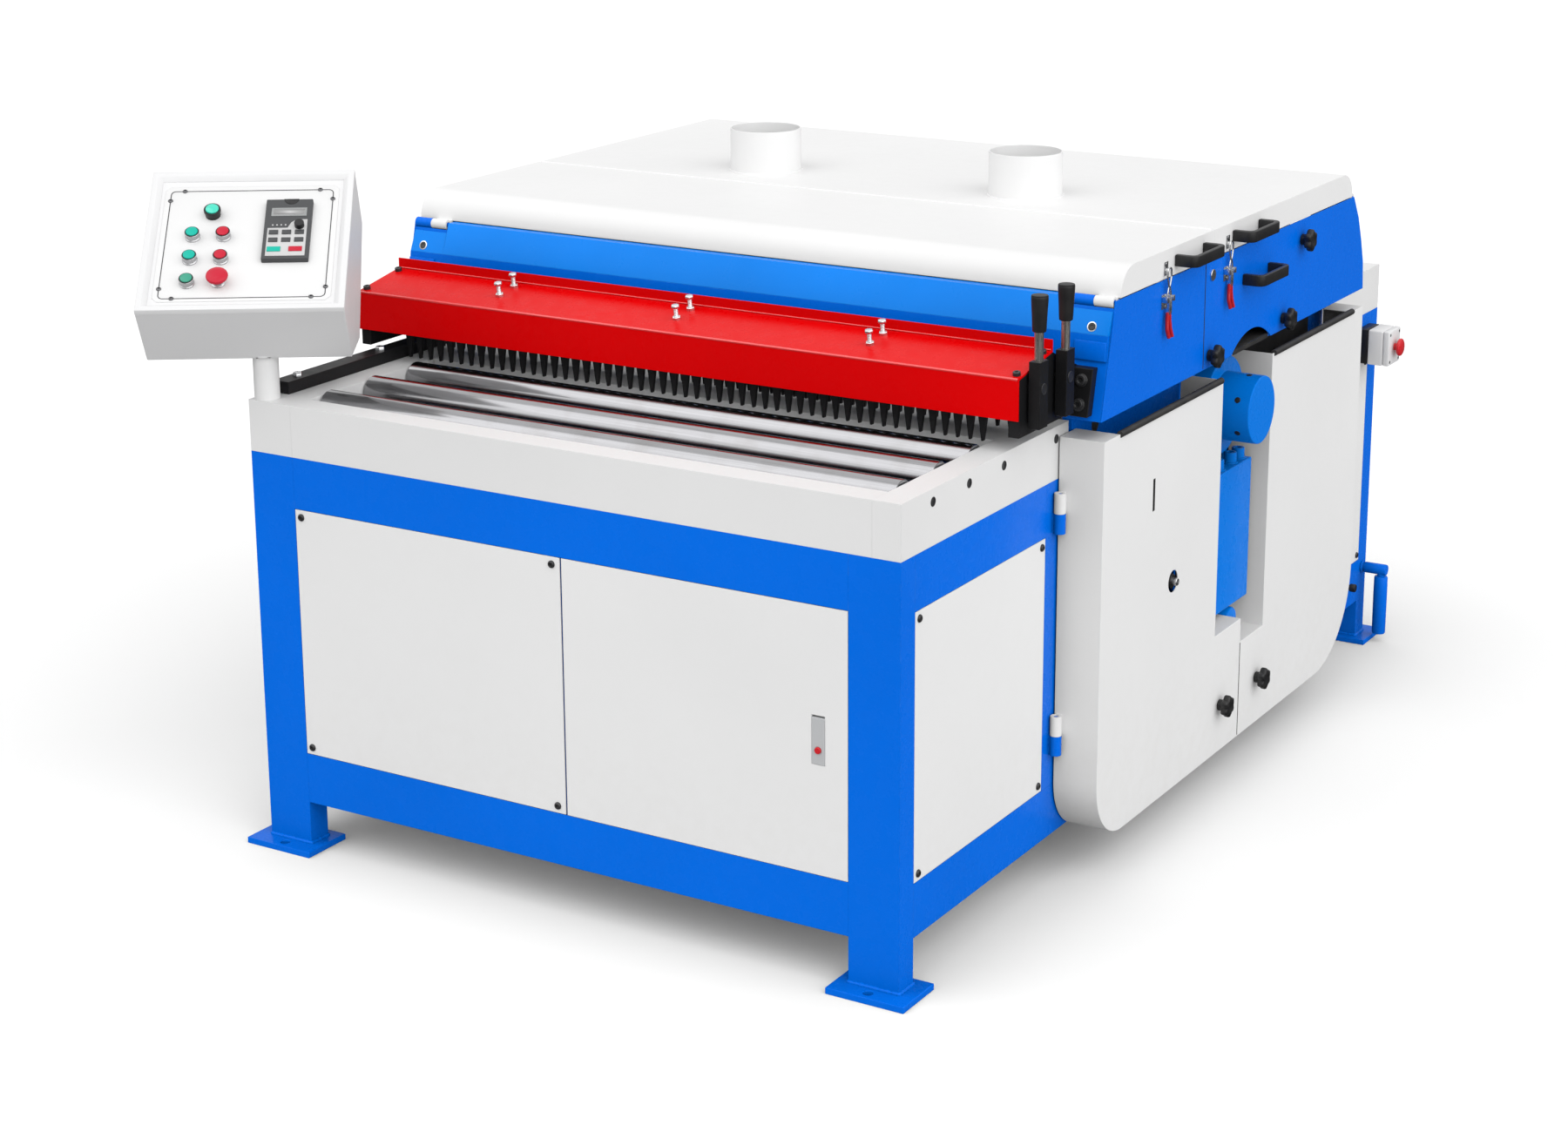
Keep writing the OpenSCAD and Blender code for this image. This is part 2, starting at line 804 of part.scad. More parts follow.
// Black socket screws of the panels, the guard and the arms
module panel_screws() {
    zs = [low_top + tab_l / 2, up_z - tab_l / 2];
    edge = tab_l / 2;
    color(black) machine() {
        for (z = zs) {
            for (x = [edge - leg_x, door_split - door_gap - edge])
                bar_y(screw_head_r, x, [-screw_head_h, 0], z);
            for (x = [edge - leg_x, leg_x - edge])
                bar_y(screw_head_r, x, [frame_d, frame_d + screw_head_h], z);
            both_sides()
                for (y = [leg_d + edge, post_front - edge, rear_post_end + edge, rear_leg_y - edge])
                    bar_x(screw_head_r, [side_x, side_x + screw_head_h], y, z);
        }
        both_sides() {
            for (y = [guard_front + edge, guard_back - edge])
                translate([guard_half - arm_t / 2, y, guard_roof(y)])
                    rotate([atan(guard_rise / guard_deep), 0, 0])
                        cylinder(r = screw_head_r, h = cap_head_h);
            for (s = lug_screw_shares)
                translate([guard_half + lug_w / 2, lug_face(s * lug_h), arm_z + s * lug_h])
                    rotate([straight - atan(hood_lean), 0, 0])
                        cylinder(r = lug_head_r, h = cap_head_h);
        }
    }
}

// Height of the guard's outer top face, and the front face of the arm lugs at a height
function guard_roof(y) = guard_top + (y - guard_front) * guard_rise / guard_deep;
function hood_face(h) = hood_front + hood_lean * (arm_z + h - hood_z);
function lug_face(h) = hood_face(h) - lug_t;

// Bright set bolts on the guard and the fence rail
module hex_bolts() {
    color(steel) machine() {
        for (cx = set_bolt_col_shares, cy = set_bolt_row_shares)
            translate([cx * guard_half, guard_front + cy * guard_deep, guard_top + cy * guard_rise])
                rotate([atan(guard_rise / guard_deep), 0, 0]) {
                    cylinder(r = bolt_head_r, h = bolt_head_h, $fn = 6);
                    cylinder(r = bolt_shank_r, h = bolt_head_h + bolt_shank_l);
                    translate([0, 0, bolt_shank_l])
                        cylinder(r = bolt_head_r, h = bolt_head_h, $fn = 6);
                }
        for (c = fence_bolt_shares)
            translate([fence_x + fence_w / 2, fence_y + c * (fence_end - fence_y), table_h + fence_h])
                cylinder(r = bolt_head_r, h = bolt_head_h, $fn = 6);
    }
}

// Table

// Rim bars along both sides of the infeed and outfeed tables, bored for the axles
module table_side_bars() {
    axes = [for (i = [0 : 2]) roller_first + i * roller_pitch];
    color(white) machine() {
        difference() {
            for (x = [[-side_x, roller_x0], [roller_x1, side_x]])
                slab(x, [0, bar_end], [rim_z, table_h]);
            for (y = axes)
                bar_x(axle_r + running_fit, [-side_x - overrun, side_x + overrun], y, roller_z);
            bar_x(axle_r, [side_x - axle_inset, side_x + overrun], bar_end - rim_hole_in, roller_z);
        }
        difference() {
            for (x = [[-side_x, roller_x0], [roller_x1, side_x]])
                slab(x, [wall_end + panel_gap, frame_d], [rim_z, table_h]);
            bar_x(axle_r + running_fit, [-side_x - overrun, side_x + overrun],
                frame_d - roller_last, roller_z);
        }
    }
}

// Rim bars across both ends and the bed plates between the rollers
module table_cross_bars() {
    x = [roller_x0, roller_x1];
    bed = [table_h - bed_t, table_h];
    color(white) machine() {
        slab(x, [0, bar_front], [rim_z, table_h]);
        slab(x, [frame_d - bar_front, frame_d], [rim_z, table_h]);
        slab(x, [finger_front + bed_in, bar_end], bed);
        slab([-wall_x, wall_x], [feed_front + feed_r + bed_gap, spindle_y - blade_r], bed);
        slab([-wall_x, wall_x], [spindle_y + blade_r, feed_rear - feed_r - bed_gap], bed);
    }
}

// Walls that carry the spindle and the feed rollers
module side_walls() {
    color(blue) machine()
        difference() {
            both_sides()
                slab([wall_x, side_x], [wall_y, wall_end], [low_top, wall_top]);
            for (y = [feed_front, feed_rear], z = [feed_z, press_z])
                bar_x(journal_r + running_fit, [-side_x - overrun, side_x + overrun], y, z);
            bar_x(spindle_r + running_fit, [-side_x - overrun, side_x + overrun],
                spindle_y, spindle_z);
        }
}

// Black guide rail on the left rim bar
module fence_rail() {
    color(black) machine()
        slab([fence_x, fence_x + fence_w], [fence_y, fence_end], [table_h, table_h + fence_h]);
}

// Tube on the rim corner that the console turns on
module control_post() {
    color(white) machine()
        difference() {
            bar_z(post_r, post_x, post_y, [table_h, table_h + post_rise]);
            bar_z(post_r - tube_wall, post_x, post_y,
                [table_h - overrun, table_h + post_rise + overrun]);
        }
}

// Hood

// Rear edge of the hood's side, from the foot to the crest
hood_tail = [for (i = [0 : len(tail_run_shares) - 1])
    [hood_rear - tail_run_shares[i] * (hood_rear - hood_back), hood_z + tail_rise_shares[i] * hood_side_h]];

// Hood end of the given outline: an upper strip, its apron and two cheeks beside the feed throat
module hood_end(outline, apron) {
    strip_z = wall_top + sole_gap;
    apron_half = side_x - body_gap;
    intersection() {
        along_x([-sheet_in, sheet_in])
            polygon(outline);
        union() {
            slab([-sheet_in, sheet_in], [hood_front, hood_rear], [strip_z, hood_top]);
            slab([-apron_half, apron_half], [hood_front, hood_rear], [strip_z - apron, hood_top]);
            both_sides()
                slab([side_x, sheet_in], [hood_front, hood_rear], [hood_z, strip_z - body_gap]);
        }
    }
}

// Leaning front end, bowed rear end and the sole plates that stand on the walls
module hood_plates() {
    front = [[hood_front, hood_z], [hood_front + plate_t, hood_z],
        [hood_crest + plate_t, hood_top], [hood_crest, hood_top]];
    last = len(hood_tail) - 1;
    rear = concat(hood_tail, [for (i = [0 : last]) hood_tail[last - i] - [plate_t, 0]]);
    color(blue) machine() {
        difference() {
            union() {
                hood_end(front, apron_h);
                hood_end(rear, 0);
            }
            for (x = [hinge_left, hinge_right], y = [front_axis_y, rear_axis_y])
                bar_x(knuckle_r + lid_gap, [x - overrun, x + knuckle_l + knuckle_l + overrun],
                    y, lid_axis_z);
        }
        for (x = [hinge_left, hinge_right]) {
            lid_knuckle([x, x + knuckle_l], front_axis_y, hood_crest + plate_t / 2);
            lid_knuckle([x, x + knuckle_l], rear_axis_y, hood_back - plate_t / 2);
            for (y = [front_axis_y, rear_axis_y])
                bar_x(pin_r, [x, x + knuckle_l + knuckle_l - lid_gap], y, lid_axis_z);
        }
        both_sides()
            slab([side_x, sheet_in], [hood_front + plate_t + sole_gap, hood_rear - plate_t - sole_gap],
                [hood_z, hood_z + sole_t]);
    }
}

// Blue hinge knuckle with a leaf down to the plate at y
module lid_knuckle(x, axis, y) {
    bar_x(knuckle_r, x, axis, lid_axis_z);
    slab(x, [min(axis, y) - plate_t / 2, max(axis, y) + plate_t / 2],
        [lid_axis_z - knuckle_r - lid_gap - plate_t, lid_axis_z]);
}

// Fixed sides of the hood: the right one ends at the side door
module hood_sides() {
    y1 = side_seam - body_gap;
    color(blue) machine() {
        along_x([sheet_in, hood_half])
            polygon([[hood_front, hood_z], [y1, hood_z], [y1, hood_top], [hood_crest, hood_top]]);
        toggle_base(toggle_front_y);
        along_x([-hood_half, -sheet_in])
            polygon(concat([[hood_crest, hood_top], [hood_front, hood_z]], hood_tail));
    }
}

// Ears and pin of a toggle latch
module toggle_base(y) {
    ear = toggle_plate_t / 2;
    for (s = [-1, 1])
        slab([hood_half - overrun, toggle_x + toggle_eye_r],
            [y + s * (toggle_w / 2 + ear) - ear, y + s * (toggle_w / 2 + ear) + ear],
            [toggle_z - toggle_eye_r, toggle_z + toggle_eye_r]);
    bar_y(toggle_pin_r, toggle_x, [y - toggle_w / 2 - ear, y + toggle_w / 2 + ear], toggle_z);
}

// Lever of a toggle latch with its dipped grip
module toggle_lever(y) {
    w = toggle_w * toggle_tongue_share;
    plate = toggle_plate_t / 2;
    difference() {
        union() {
            bar_y(toggle_eye_r, toggle_x, [y - w, y + w], toggle_z);
            slab([toggle_x - plate, toggle_x + plate], [y - w, y + w],
                [toggle_z - toggle_l / 2, toggle_z]);
            slab([toggle_x - plate, toggle_x + plate],
                [y - toggle_w / 2 + overrun, y + toggle_w / 2 - overrun],
                [toggle_z - toggle_l, toggle_z - toggle_l * toggle_grip_share]);
        }
        bar_y(toggle_pin_r + running_fit, toggle_x, [y - toggle_w, y + toggle_w], toggle_z);
    }
}

// Wire bail of a toggle latch, hooked over the lid's catch
module toggle_bail(y) {
    w = toggle_w * toggle_tongue_share + body_gap;
    end = toggle_w / 2 - body_gap;
    difference() {
        union() {
            for (s = [-1, 1]) {
                bar_y(toggle_eye_r, toggle_x, [y + min(s * w, s * end), y + max(s * w, s * end)],
                    toggle_z);
                slab([toggle_x - toggle_wire, toggle_x + toggle_wire],
                    [y + min(s * w, s * end), y + max(s * w, s * end)],
                    [toggle_z, toggle_z + bail_l]);
            }
            slab([toggle_x - toggle_wire, toggle_x + toggle_wire], [y - end, y + end],
                [toggle_z + bail_l - toggle_wire, toggle_z + bail_l + toggle_wire]);
        }
        bar_y(toggle_pin_r + running_fit, toggle_x, [y - toggle_w, y + toggle_w], toggle_z);
    }
}

// Catch on a lid half for the bail
module toggle_catch(y) {
    w = toggle_w * toggle_tongue_share - body_gap;
    z1 = toggle_z + bail_l - toggle_wire - body_gap;
    slab([hood_half - overrun, toggle_x - toggle_wire - body_gap], [y - w, y + w],
        [z1 - toggle_eye_r, z1]);
}

// Outline of a lid half from its hinge edge at zero to the joint
module lid_2d(length, t) {
    translate([lid_h, lid_z - overrun])
        square([length - lid_h, lid_h - t + overrun]);
    intersection() {
        translate([lid_h, lid_z])
            circle(r = lid_h - t);
        translate([0, lid_z])
            square([lid_h, lid_h]);
    }
}

// Hollow lid half with closed ends
module lid_shell(length) {
    difference() {
        along_x([-hood_half, hood_half])
            intersection() {
                lid_2d(length, 0);
                translate([0, lid_z])
                    square([length, lid_h]);
            }
        along_x([-sheet_in, sheet_in]) {
            lid_2d(length + overrun, sheet_t);
            translate([sheet_t, lid_z - overrun])
                square([length, sheet_t]);
        }
    }
}

// White knuckles that turn on the blue ones' pins
module lid_hinges(axis, edge) {
    y = [min(axis, edge), max(axis, edge)];
    for (x = [hinge_left + knuckle_l, hinge_right + knuckle_l])
        difference() {
            union() {
                bar_x(knuckle_r, [x + body_gap, x + knuckle_l - lid_gap], axis, lid_axis_z);
                slab([x + body_gap, x + knuckle_l - lid_gap], y, [lid_axis_z, lid_z + lid_gap]);
            }
            bar_x(pin_r + running_fit, [x - overrun, x + knuckle_l], axis, lid_axis_z);
        }
}

module front_lid() {
    color(white) machine() {
        translate([0, lid_front, 0])
            lid_shell(lid_seam - body_gap - lid_front);
        lid_hinges(front_axis_y, lid_front + sheet_t);
        toggle_catch(toggle_front_y);
    }
}

// Rear lid half with the two dust ports let into it
module rear_lid() {
    y = lid_seam + port_y;
    color(white) machine() {
        difference() {
            translate([0, lid_rear, 0])
                mirror([0, 1, 0])
                    lid_shell(lid_rear - lid_seam);
            for (x = [-port_x, port_x])
                bar_z(port_r - port_neck + body_gap, x, y, [lid_z, lid_top + overrun]);
        }
        for (x = [-port_x, port_x])
            difference() {
                union() {
                    bar_z(port_r - port_neck, x, y, [lid_top - sheet_t, lid_top + port_h]);
                    bar_z(port_r, x, y, [lid_top + body_gap, lid_top + port_h]);
                }
                bar_z(port_r - port_wall, x, y, [lid_z, lid_top + port_h + overrun]);
            }
        lid_hinges(rear_axis_y, lid_rear - sheet_t);
        toggle_catch(toggle_rear_y);
    }
}

module front_lid_handle() {
    color(black) machine()
        pull_handle(hood_half, lid_seam - front_handle_in, lid_z + lid_h / 2);
}

module rear_lid_handle() {
    color(black) machine()
        pull_handle(hood_half, lid_seam + rear_handle_in, lid_z + lid_h / 2);
}

// Lift-off panel behind the right side seam, arched over the bearing
module side_door() {
    color(blue) machine() {
        difference() {
            along_x([sheet_in, hood_half])
                polygon(concat([[side_seam, hood_top], [side_seam, hood_z]], hood_tail));
            bar_x(arch_r, [side_x, hood_half + overrun], spindle_y, spindle_z);
            for (k = [1, 2, 3])
                bar_x(knob_screw_r + body_gap, [side_x, hood_half + overrun],
                    door_knob(k)[0], door_knob(k)[1]);
        }
        toggle_base(toggle_rear_y);
    }
}

// Places of the three knobs that hold the side door
function door_knob(k) = [
    [side_seam + door_knob_in, hood_z + door_knob_low],
    [spindle_y + door_knob_back, hood_z + door_knob_low],
    [spindle_y + door_knob_far, hood_z + door_knob_high]][k - 1];

module side_door_handle() {
    color(black) machine()
        pull_handle(hood_half, side_seam + door_handle_in, hood_top - door_handle_drop);
}

module side_door_knob(k) {
    color(black) machine()
        star_knob(hood_half, door_knob(k)[0], door_knob(k)[1], knob_t);
}

module side_door_knob_1() side_door_knob(1);
module side_door_knob_2() side_door_knob(2);
module side_door_knob_3() side_door_knob(3);

module front_latch_lever() {
    color(steel) machine()
        toggle_lever(toggle_front_y);
}

module front_latch_bail() {
    color(steel) machine()
        toggle_bail(toggle_front_y);
}

module rear_latch_lever() {
    color(steel) machine()
        toggle_lever(toggle_rear_y);
}

module rear_latch_bail() {
    color(steel) machine()
        toggle_bail(toggle_rear_y);
}

// Finger guard

// Bent red sheet over the fingers
module finger_guard() {
    outer = [[guard_front, guard_z], [guard_front + sheet_t, guard_z],
        [guard_front + sheet_t, guard_top - sheet_t],
        [guard_back + sheet_t, guard_top + guard_rise - sheet_t],
        [guard_back + sheet_t, guard_top + guard_rise + guard_flange],
        [guard_back, guard_top + guard_rise + guard_flange],
        [guard_back, guard_top + guard_rise], [guard_front, guard_top]];
    color(red) machine()
        along_x([-guard_half, guard_half])
            polygon(outer);
}

// Black arms bolted to the hood's front plate, bored for both finger shafts
module guard_arms() {
    y0 = guard_front + sheet_t + arm_front_in;
    under = sheet_t + running_fit;
    side = [[y0, arm_z], [hood_face(0), arm_z], [hood_face(lug_h), arm_z + lug_h],
        [guard_back + sheet_t, guard_roof(guard_back) - under],
        [y0, guard_roof(y0 - sheet_t) - under]];
    lug = [[lug_face(0), arm_z], [hood_face(0), arm_z], [hood_face(lug_h), arm_z + lug_h],
        [lug_face(lug_h), arm_z + lug_h]];
    color(black) machine() both_sides()
        difference() {
            union() {
                along_x([arm_x, guard_half])
                    polygon(side);
                along_x([arm_x, guard_half + lug_w])
                    polygon(lug);
            }
            for (y = [finger_front, finger_rear])
                bar_x(finger_shaft_r + running_fit, [arm_x - overrun, guard_half + overrun],
                    y, shaft_z);
        }
}

// Row of stop fingers on its shaft, with the lever that lifts it
module finger_row(y) {
    x0 = -finger_pitch * (finger_count - 1) / 2;
    top = shaft_z + finger_shaft_r + overrun;
    low = shaft_z - finger_l;
    w = finger_w / 2;
    tip = finger_tip / 2;
    rod_z = shaft_z + block_up;
    lever_mid = lever_x + block_t / 2;
    color(black) machine() {
        bar_x(finger_shaft_r, [-guard_half, lever_x + block_t], y, shaft_z);
        for (i = [0 : finger_count - 1])
            translate([x0 + i * finger_pitch, y + finger_t / 2, 0])
                rotate([straight, 0, 0])
                    linear_extrude(finger_t)
                        polygon([[-tip, low], [tip, low], [w, low + finger_point], [w, top],
                            [-w, top], [-w, low + finger_point]]);
        slab([lever_x, lever_x + block_t], [y - block_w / 2, y + block_w / 2],
            [shaft_z - block_down, rod_z]);
        bar_z(lever_rod_r, lever_mid, y, [rod_z, rod_z + lever_rod_l + lever_rod_r]);
        translate([lever_mid, y, rod_z + lever_rod_l])
            cylinder(r1 = lever_grip_r * grip_taper_share, r2 = lever_grip_r, h = lever_grip_l);
    }
}

module finger_row_front() finger_row(finger_front);
module finger_row_rear() finger_row(finger_rear);

// Spindle and feed

// Bearing flange, cap and lifting block on the right with the stud beside them, plain cover on the left
module bearing_housing() {
    color(blue) machine() {
        bar_x(stud_r, [side_x, cover_x1 - overrun], stud_y, stud_z);
        difference() {
            union() {
                bar_x(flange_r, [side_x, side_x + flange_t], spindle_y, spindle_z);
                bar_x(cap_r, [side_x, side_x + cap_reach], spindle_y, spindle_z);
                slab([side_x, side_x + lift_t], [spindle_y - lift_w / 2, spindle_y + lift_w / 2],
                    [spindle_z - flange_r - lift_h, spindle_z - flange_r - lift_drop]);
                slab([side_x, side_x + neck_t], [spindle_y - neck_w / 2, spindle_y + neck_w / 2],
                    [spindle_z - flange_r - lift_h, spindle_z - flange_r + lift_lap]);
            }
            bar_x(spindle_r + running_fit, [side_x - overrun, side_x + lift_t + bore_end],
                spindle_y, spindle_z);
        }
        difference() {
            bar_x(flange_r, [-side_x - flange_t, -side_x], spindle_y, spindle_z);
            bar_x(spindle_r + running_fit, [-side_x - flange_t / 2 - bore_end, -side_x + overrun],
                spindle_y, spindle_z);
        }
    }
}

// Spindle with the sleeve that clamps the blades
module spindle_shaft() {
    color(steel) machine() {
        bar_x(spindle_r, [-side_x - flange_t / 2, side_x + lift_t], spindle_y, spindle_z);
        bar_x(sleeve_r, [-sleeve_half, sleeve_half], spindle_y, spindle_z);
    }
}

// Gang of saw blades on the sleeve
module saw_blades() {
    pitch = sleeve_half * 2 / (blade_count + 1);
    x0 = -pitch * (blade_count - 1) / 2;
    color(steel) machine()
        for (i = [0 : blade_count - 1])
            translate([x0 + i * pitch - blade_t / 2, spindle_y, spindle_z])
                rotate([straight, 0, straight])
                    linear_extrude(blade_t)
                        difference() {
                            circle(r = blade_r);
                            circle(r = sleeve_r + running_fit);
                            for (k = [0 : blade_teeth - 1])
                                rotate(k * full_turn / blade_teeth)
                                    translate([blade_r, 0])
                                        circle(r = gullet_r);
                        }
}

// Table roller with its axle
module table_roller(y) {
    color(steel) machine() {
        bar_x(roller_r, [roller_x0 + roller_end_gap, roller_x1 - roller_end_gap], y, roller_z);
        bar_x(axle_r, [axle_inset - side_x, side_x - axle_inset], y, roller_z);
    }
}

module infeed_roller_1() table_roller(roller_first);
module infeed_roller_2() table_roller(roller_first + roller_pitch);
module infeed_roller_3() table_roller(roller_first + roller_pitch + roller_pitch);
module outfeed_roller() table_roller(frame_d - roller_last);

// Feed roller between the walls
module feed_roller(r, y, z) {
    color(steel) machine() {
        bar_x(r, [roller_end_gap - wall_x, wall_x - roller_end_gap], y, z);
        bar_x(journal_r, [-side_x, side_x], y, z);
    }
}

module feed_roller_front() feed_roller(feed_r, feed_front, feed_z);
module feed_roller_rear() feed_roller(feed_r, feed_rear, feed_z);
module press_roller_front() feed_roller(press_r, feed_front, press_z);
module press_roller_rear() feed_roller(press_r, feed_rear, press_z);

// Electrical door

door_x = [door_split + door_gap / 2, leg_x - panel_gap];
latch_x = [door_x[1] - latch_edge - latch_w / 2, door_x[1] - latch_edge + latch_w / 2];
latch_mid = (low_top + up_z) / 2;
latch_axis_y = 5;
latch_button_share = 0.68;
latch_axis = [latch_axis_y, latch_mid + latch_l / 2];
latch_swing = 7;
latch_back = 7;
latch_proud = 1;
latch_pin_r = 2;
latch_pin_l = 6;
latch_rim = 8;
latch_head = 3;

// Door plate with the latch pan behind it and a pivot at the top and bottom
module electrical_door() {
    z = [low_top + panel_gap, up_z - panel_gap];
    px = door_split + door_pivot_in;
    pan = [latch_axis[1] - latch_l - latch_rim, latch_axis[1] + latch_swing + latch_rim];
    color(white) machine()
        difference() {
            union() {
                slab(door_x, [0, panel_t], z);
                slab([latch_x[0] - latch_rim, latch_x[1] + latch_rim], [0, panel_t + latch_back], pan);
                for (b = [[z[0], z[0] + tab_l], [z[1] - tab_l, z[1]]])
                    slab([px - pivot_r, px + tab_l], [panel_t - body_gap, door_pivot_back + pivot_r], b);
                bar_z(pivot_r, px, door_pivot_back, [z[0] - pivot_l, z[0] + tab_l]);
                bar_z(pivot_r, px, door_pivot_back, [z[1] - tab_l, z[1] + pivot_l]);
            }
            slab([latch_x[0] - body_gap, latch_x[1] + body_gap], [-overrun, latch_back + panel_t + overrun],
                [latch_axis[1] - latch_l - body_gap, latch_axis[1] + latch_swing]);
            bar_x(latch_pin_r + running_fit, [latch_x[0] - latch_pin_l - body_gap,
                latch_x[1] + latch_pin_l + body_gap], latch_axis[0], latch_axis[1]);
        }
}

// Flush lever of the door latch, hinged at its top
module door_latch() {
    mid = (latch_x[0] + latch_x[1]) / 2;
    color(grey) machine()
        difference() {
            union() {
                slab(latch_x, [-latch_proud, latch_back],
                    [latch_axis[1] - latch_l, latch_axis[1] + latch_head]);
                bar_x(latch_pin_r, [latch_x[0] - latch_pin_l, latch_x[1] + latch_pin_l],
                    latch_axis[0], latch_axis[1]);
            }
            bar_y(latch_button_r + running_fit, mid, [-latch_proud - overrun, latch_back + overrun],
                latch_axis[1] - latch_l * latch_button_share);
        }
}

// Red push button in the latch lever
module latch_button() {
    mid = (latch_x[0] + latch_x[1]) / 2;
    color(red) machine()
        bar_y(latch_button_r, mid, [-latch_proud - latch_head, latch_back - latch_head],
            latch_axis[1] - latch_l * latch_button_share);
}

// Side covers

// Cover outline from its hinge edge at zero; the lower part reaches further than the upper
module cover_2d(up, low, step, r, t) {
    translate([t, cover_low + r])
        square([up - t - t, cover_top - cover_low - r - t]);
    translate([r, cover_low + t])
        square([low - r - t, step - cover_low - t - t]);
    translate([r, cover_low + t])
        square([up - r - t, r]);
    translate([r, cover_low + r])
        circle(r = r - t);
}

// Folded cover, open toward the wall and at the top behind the lip at its hinge edge
module cover_shell(up, low, step, r) {
    difference() {
        along_x([cover_x0, cover_x1])
            cover_2d(up, low, step, r, 0);
        along_x([cover_x0 - overrun, cover_x1 - cover_sheet])
            cover_2d(up, low, step, r, cover_sheet);
        slab([cover_x0 - overrun, cover_x1 - cover_sheet], [cover_lip, up - cover_sheet],
            [cover_top - cover_sheet - overrun, cover_top + overrun]);
    }
}

// Upper halves of a cover's hinges
module cover_barrels(y, edge) {
    for (z = hinge_zs)
        difference() {
            union() {
                bar_z(barrel_r, hinge_x, y, [z, z + barrel_l]);
                slab([hinge_x - barrel_r / 2, hinge_x + barrel_r / 2],
                    [min(y, edge), max(y, edge)], [z, z + barrel_l]);
            }
            bar_z(pin_r + running_fit, hinge_x, y, [z - overrun, z + barrel_l + overrun]);
        }
}

module front_belt_cover() {
    slot_y = [cover_front + slot_in, cover_front + slot_in + slot_w];
    slot_z = [cover_top - slot_drop - slot_h, cover_top - slot_drop];
    hole_r = stud_r + stud_gap;
    color(white) machine() {
        difference() {
            translate([0, cover_front, 0])
                cover_shell(cover_up_front - cover_front, cover_seam - body_gap - cover_front,
                    cover_step_front, cover_r_front);
            bar_x(hole_r, [cover_x0, cover_x1 + overrun], stud_y, stud_z);
            slab([cover_x0, cover_x1 + overrun], slot_y, slot_z);
            bar_x(knob_screw_r + body_gap, [cover_x0, cover_x1 + overrun],
                front_knob_y, cover_knob_z);
        }
        cover_barrels(hinge_front_y, cover_front + cover_sheet);
    }
}

module rear_belt_cover() {
    color(white) machine() {
        difference() {
            translate([0, cover_rear, 0])
                mirror([0, 1, 0])
                    cover_shell(cover_rear - cover_up_rear, cover_rear - cover_seam - body_gap,
                        cover_step_rear, cover_r_rear);
            bar_x(knob_screw_r + body_gap, [cover_x0, cover_x1 + overrun],
                rear_knob_y, cover_knob_z);
        }
        cover_barrels(hinge_rear_y, cover_rear - cover_sheet);
    }
}

module front_cover_knob() {
    color(black) machine()
        star_knob(cover_x1, front_knob_y, cover_knob_z, cover_reach - cover_gap);
}

module rear_cover_knob() {
    color(black) machine()
        star_knob(cover_x1, rear_knob_y, cover_knob_z, cover_reach - cover_gap);
}

// Crank and stop box

// Bent crank that turns in the rear right leg
module lift_crank() {
    x = side_x + crank_reach;
    color(blue) machine() {
        bar_x(crank_r, [leg_x - crank_tail, x], crank_y, crank_z);
        translate([x, crank_y, crank_z])
            sphere(r = crank_r);
        bar_z(crank_r, x, crank_y, [crank_z - crank_l + crank_r, crank_z]);
        translate([x, crank_y, crank_z - crank_l + crank_r])
            sphere(r = crank_r);
        bar_x(crank_r + collar_over, [side_x + body_gap, side_x + body_gap + collar_t], crank_y, crank_z);
    }
}

// Box for the stop button on its bracket
module stop_box() {
    x = [side_x + stop_plate, side_x + stop_plate + stop_d];
    y = [stop_y, stop_y + stop_w];
    color(grey) machine()
        difference() {
            union() {
                slab(x, y, [stop_z, stop_z + stop_h]);
                slab([side_x, x[0]], [y[0] + bracket_in, y[1] - bracket_in],
                    [up_z, stop_z + stop_h - bracket_in]);
            }
            slab([x[0] + cover_sheet, x[1] - cover_sheet], [y[0] + cover_sheet, y[1] - cover_sheet],
                [stop_z - overrun, stop_z + stop_h - cover_sheet]);
            bar_x(stem_r + running_fit, [x[1] - cover_sheet - overrun, x[1] + overrun],
                stop_y + stop_w / 2, stop_z + stop_h / 2);
        }
}

// Red mushroom of the stop box
module stop_button() {
    x = side_x + stop_plate + stop_d;
    y = stop_y + stop_w / 2;
    z = stop_z + stop_h / 2;
    color(red) machine() {
        bar_x(stem_r, [x - stem_in, x + button_gap + overrun], y, z);
        bar_x(stop_r, [x + button_gap, x + button_h], y, z);
    }
}

// Console

// Console frame: turned about the post, X to the operator's right
module at_console() {
    machine()
        translate([post_x, post_y, 0])
            rotate([0, 0, console_yaw])
                children();
}

// Face frame: X to the right of the console's middle, Y up the slope, Z out of the face
module at_face() {
    at_console()
        translate([console_shift, face_y, face_z])
            rotate([console_tilt, 0, 0])
                children();
}

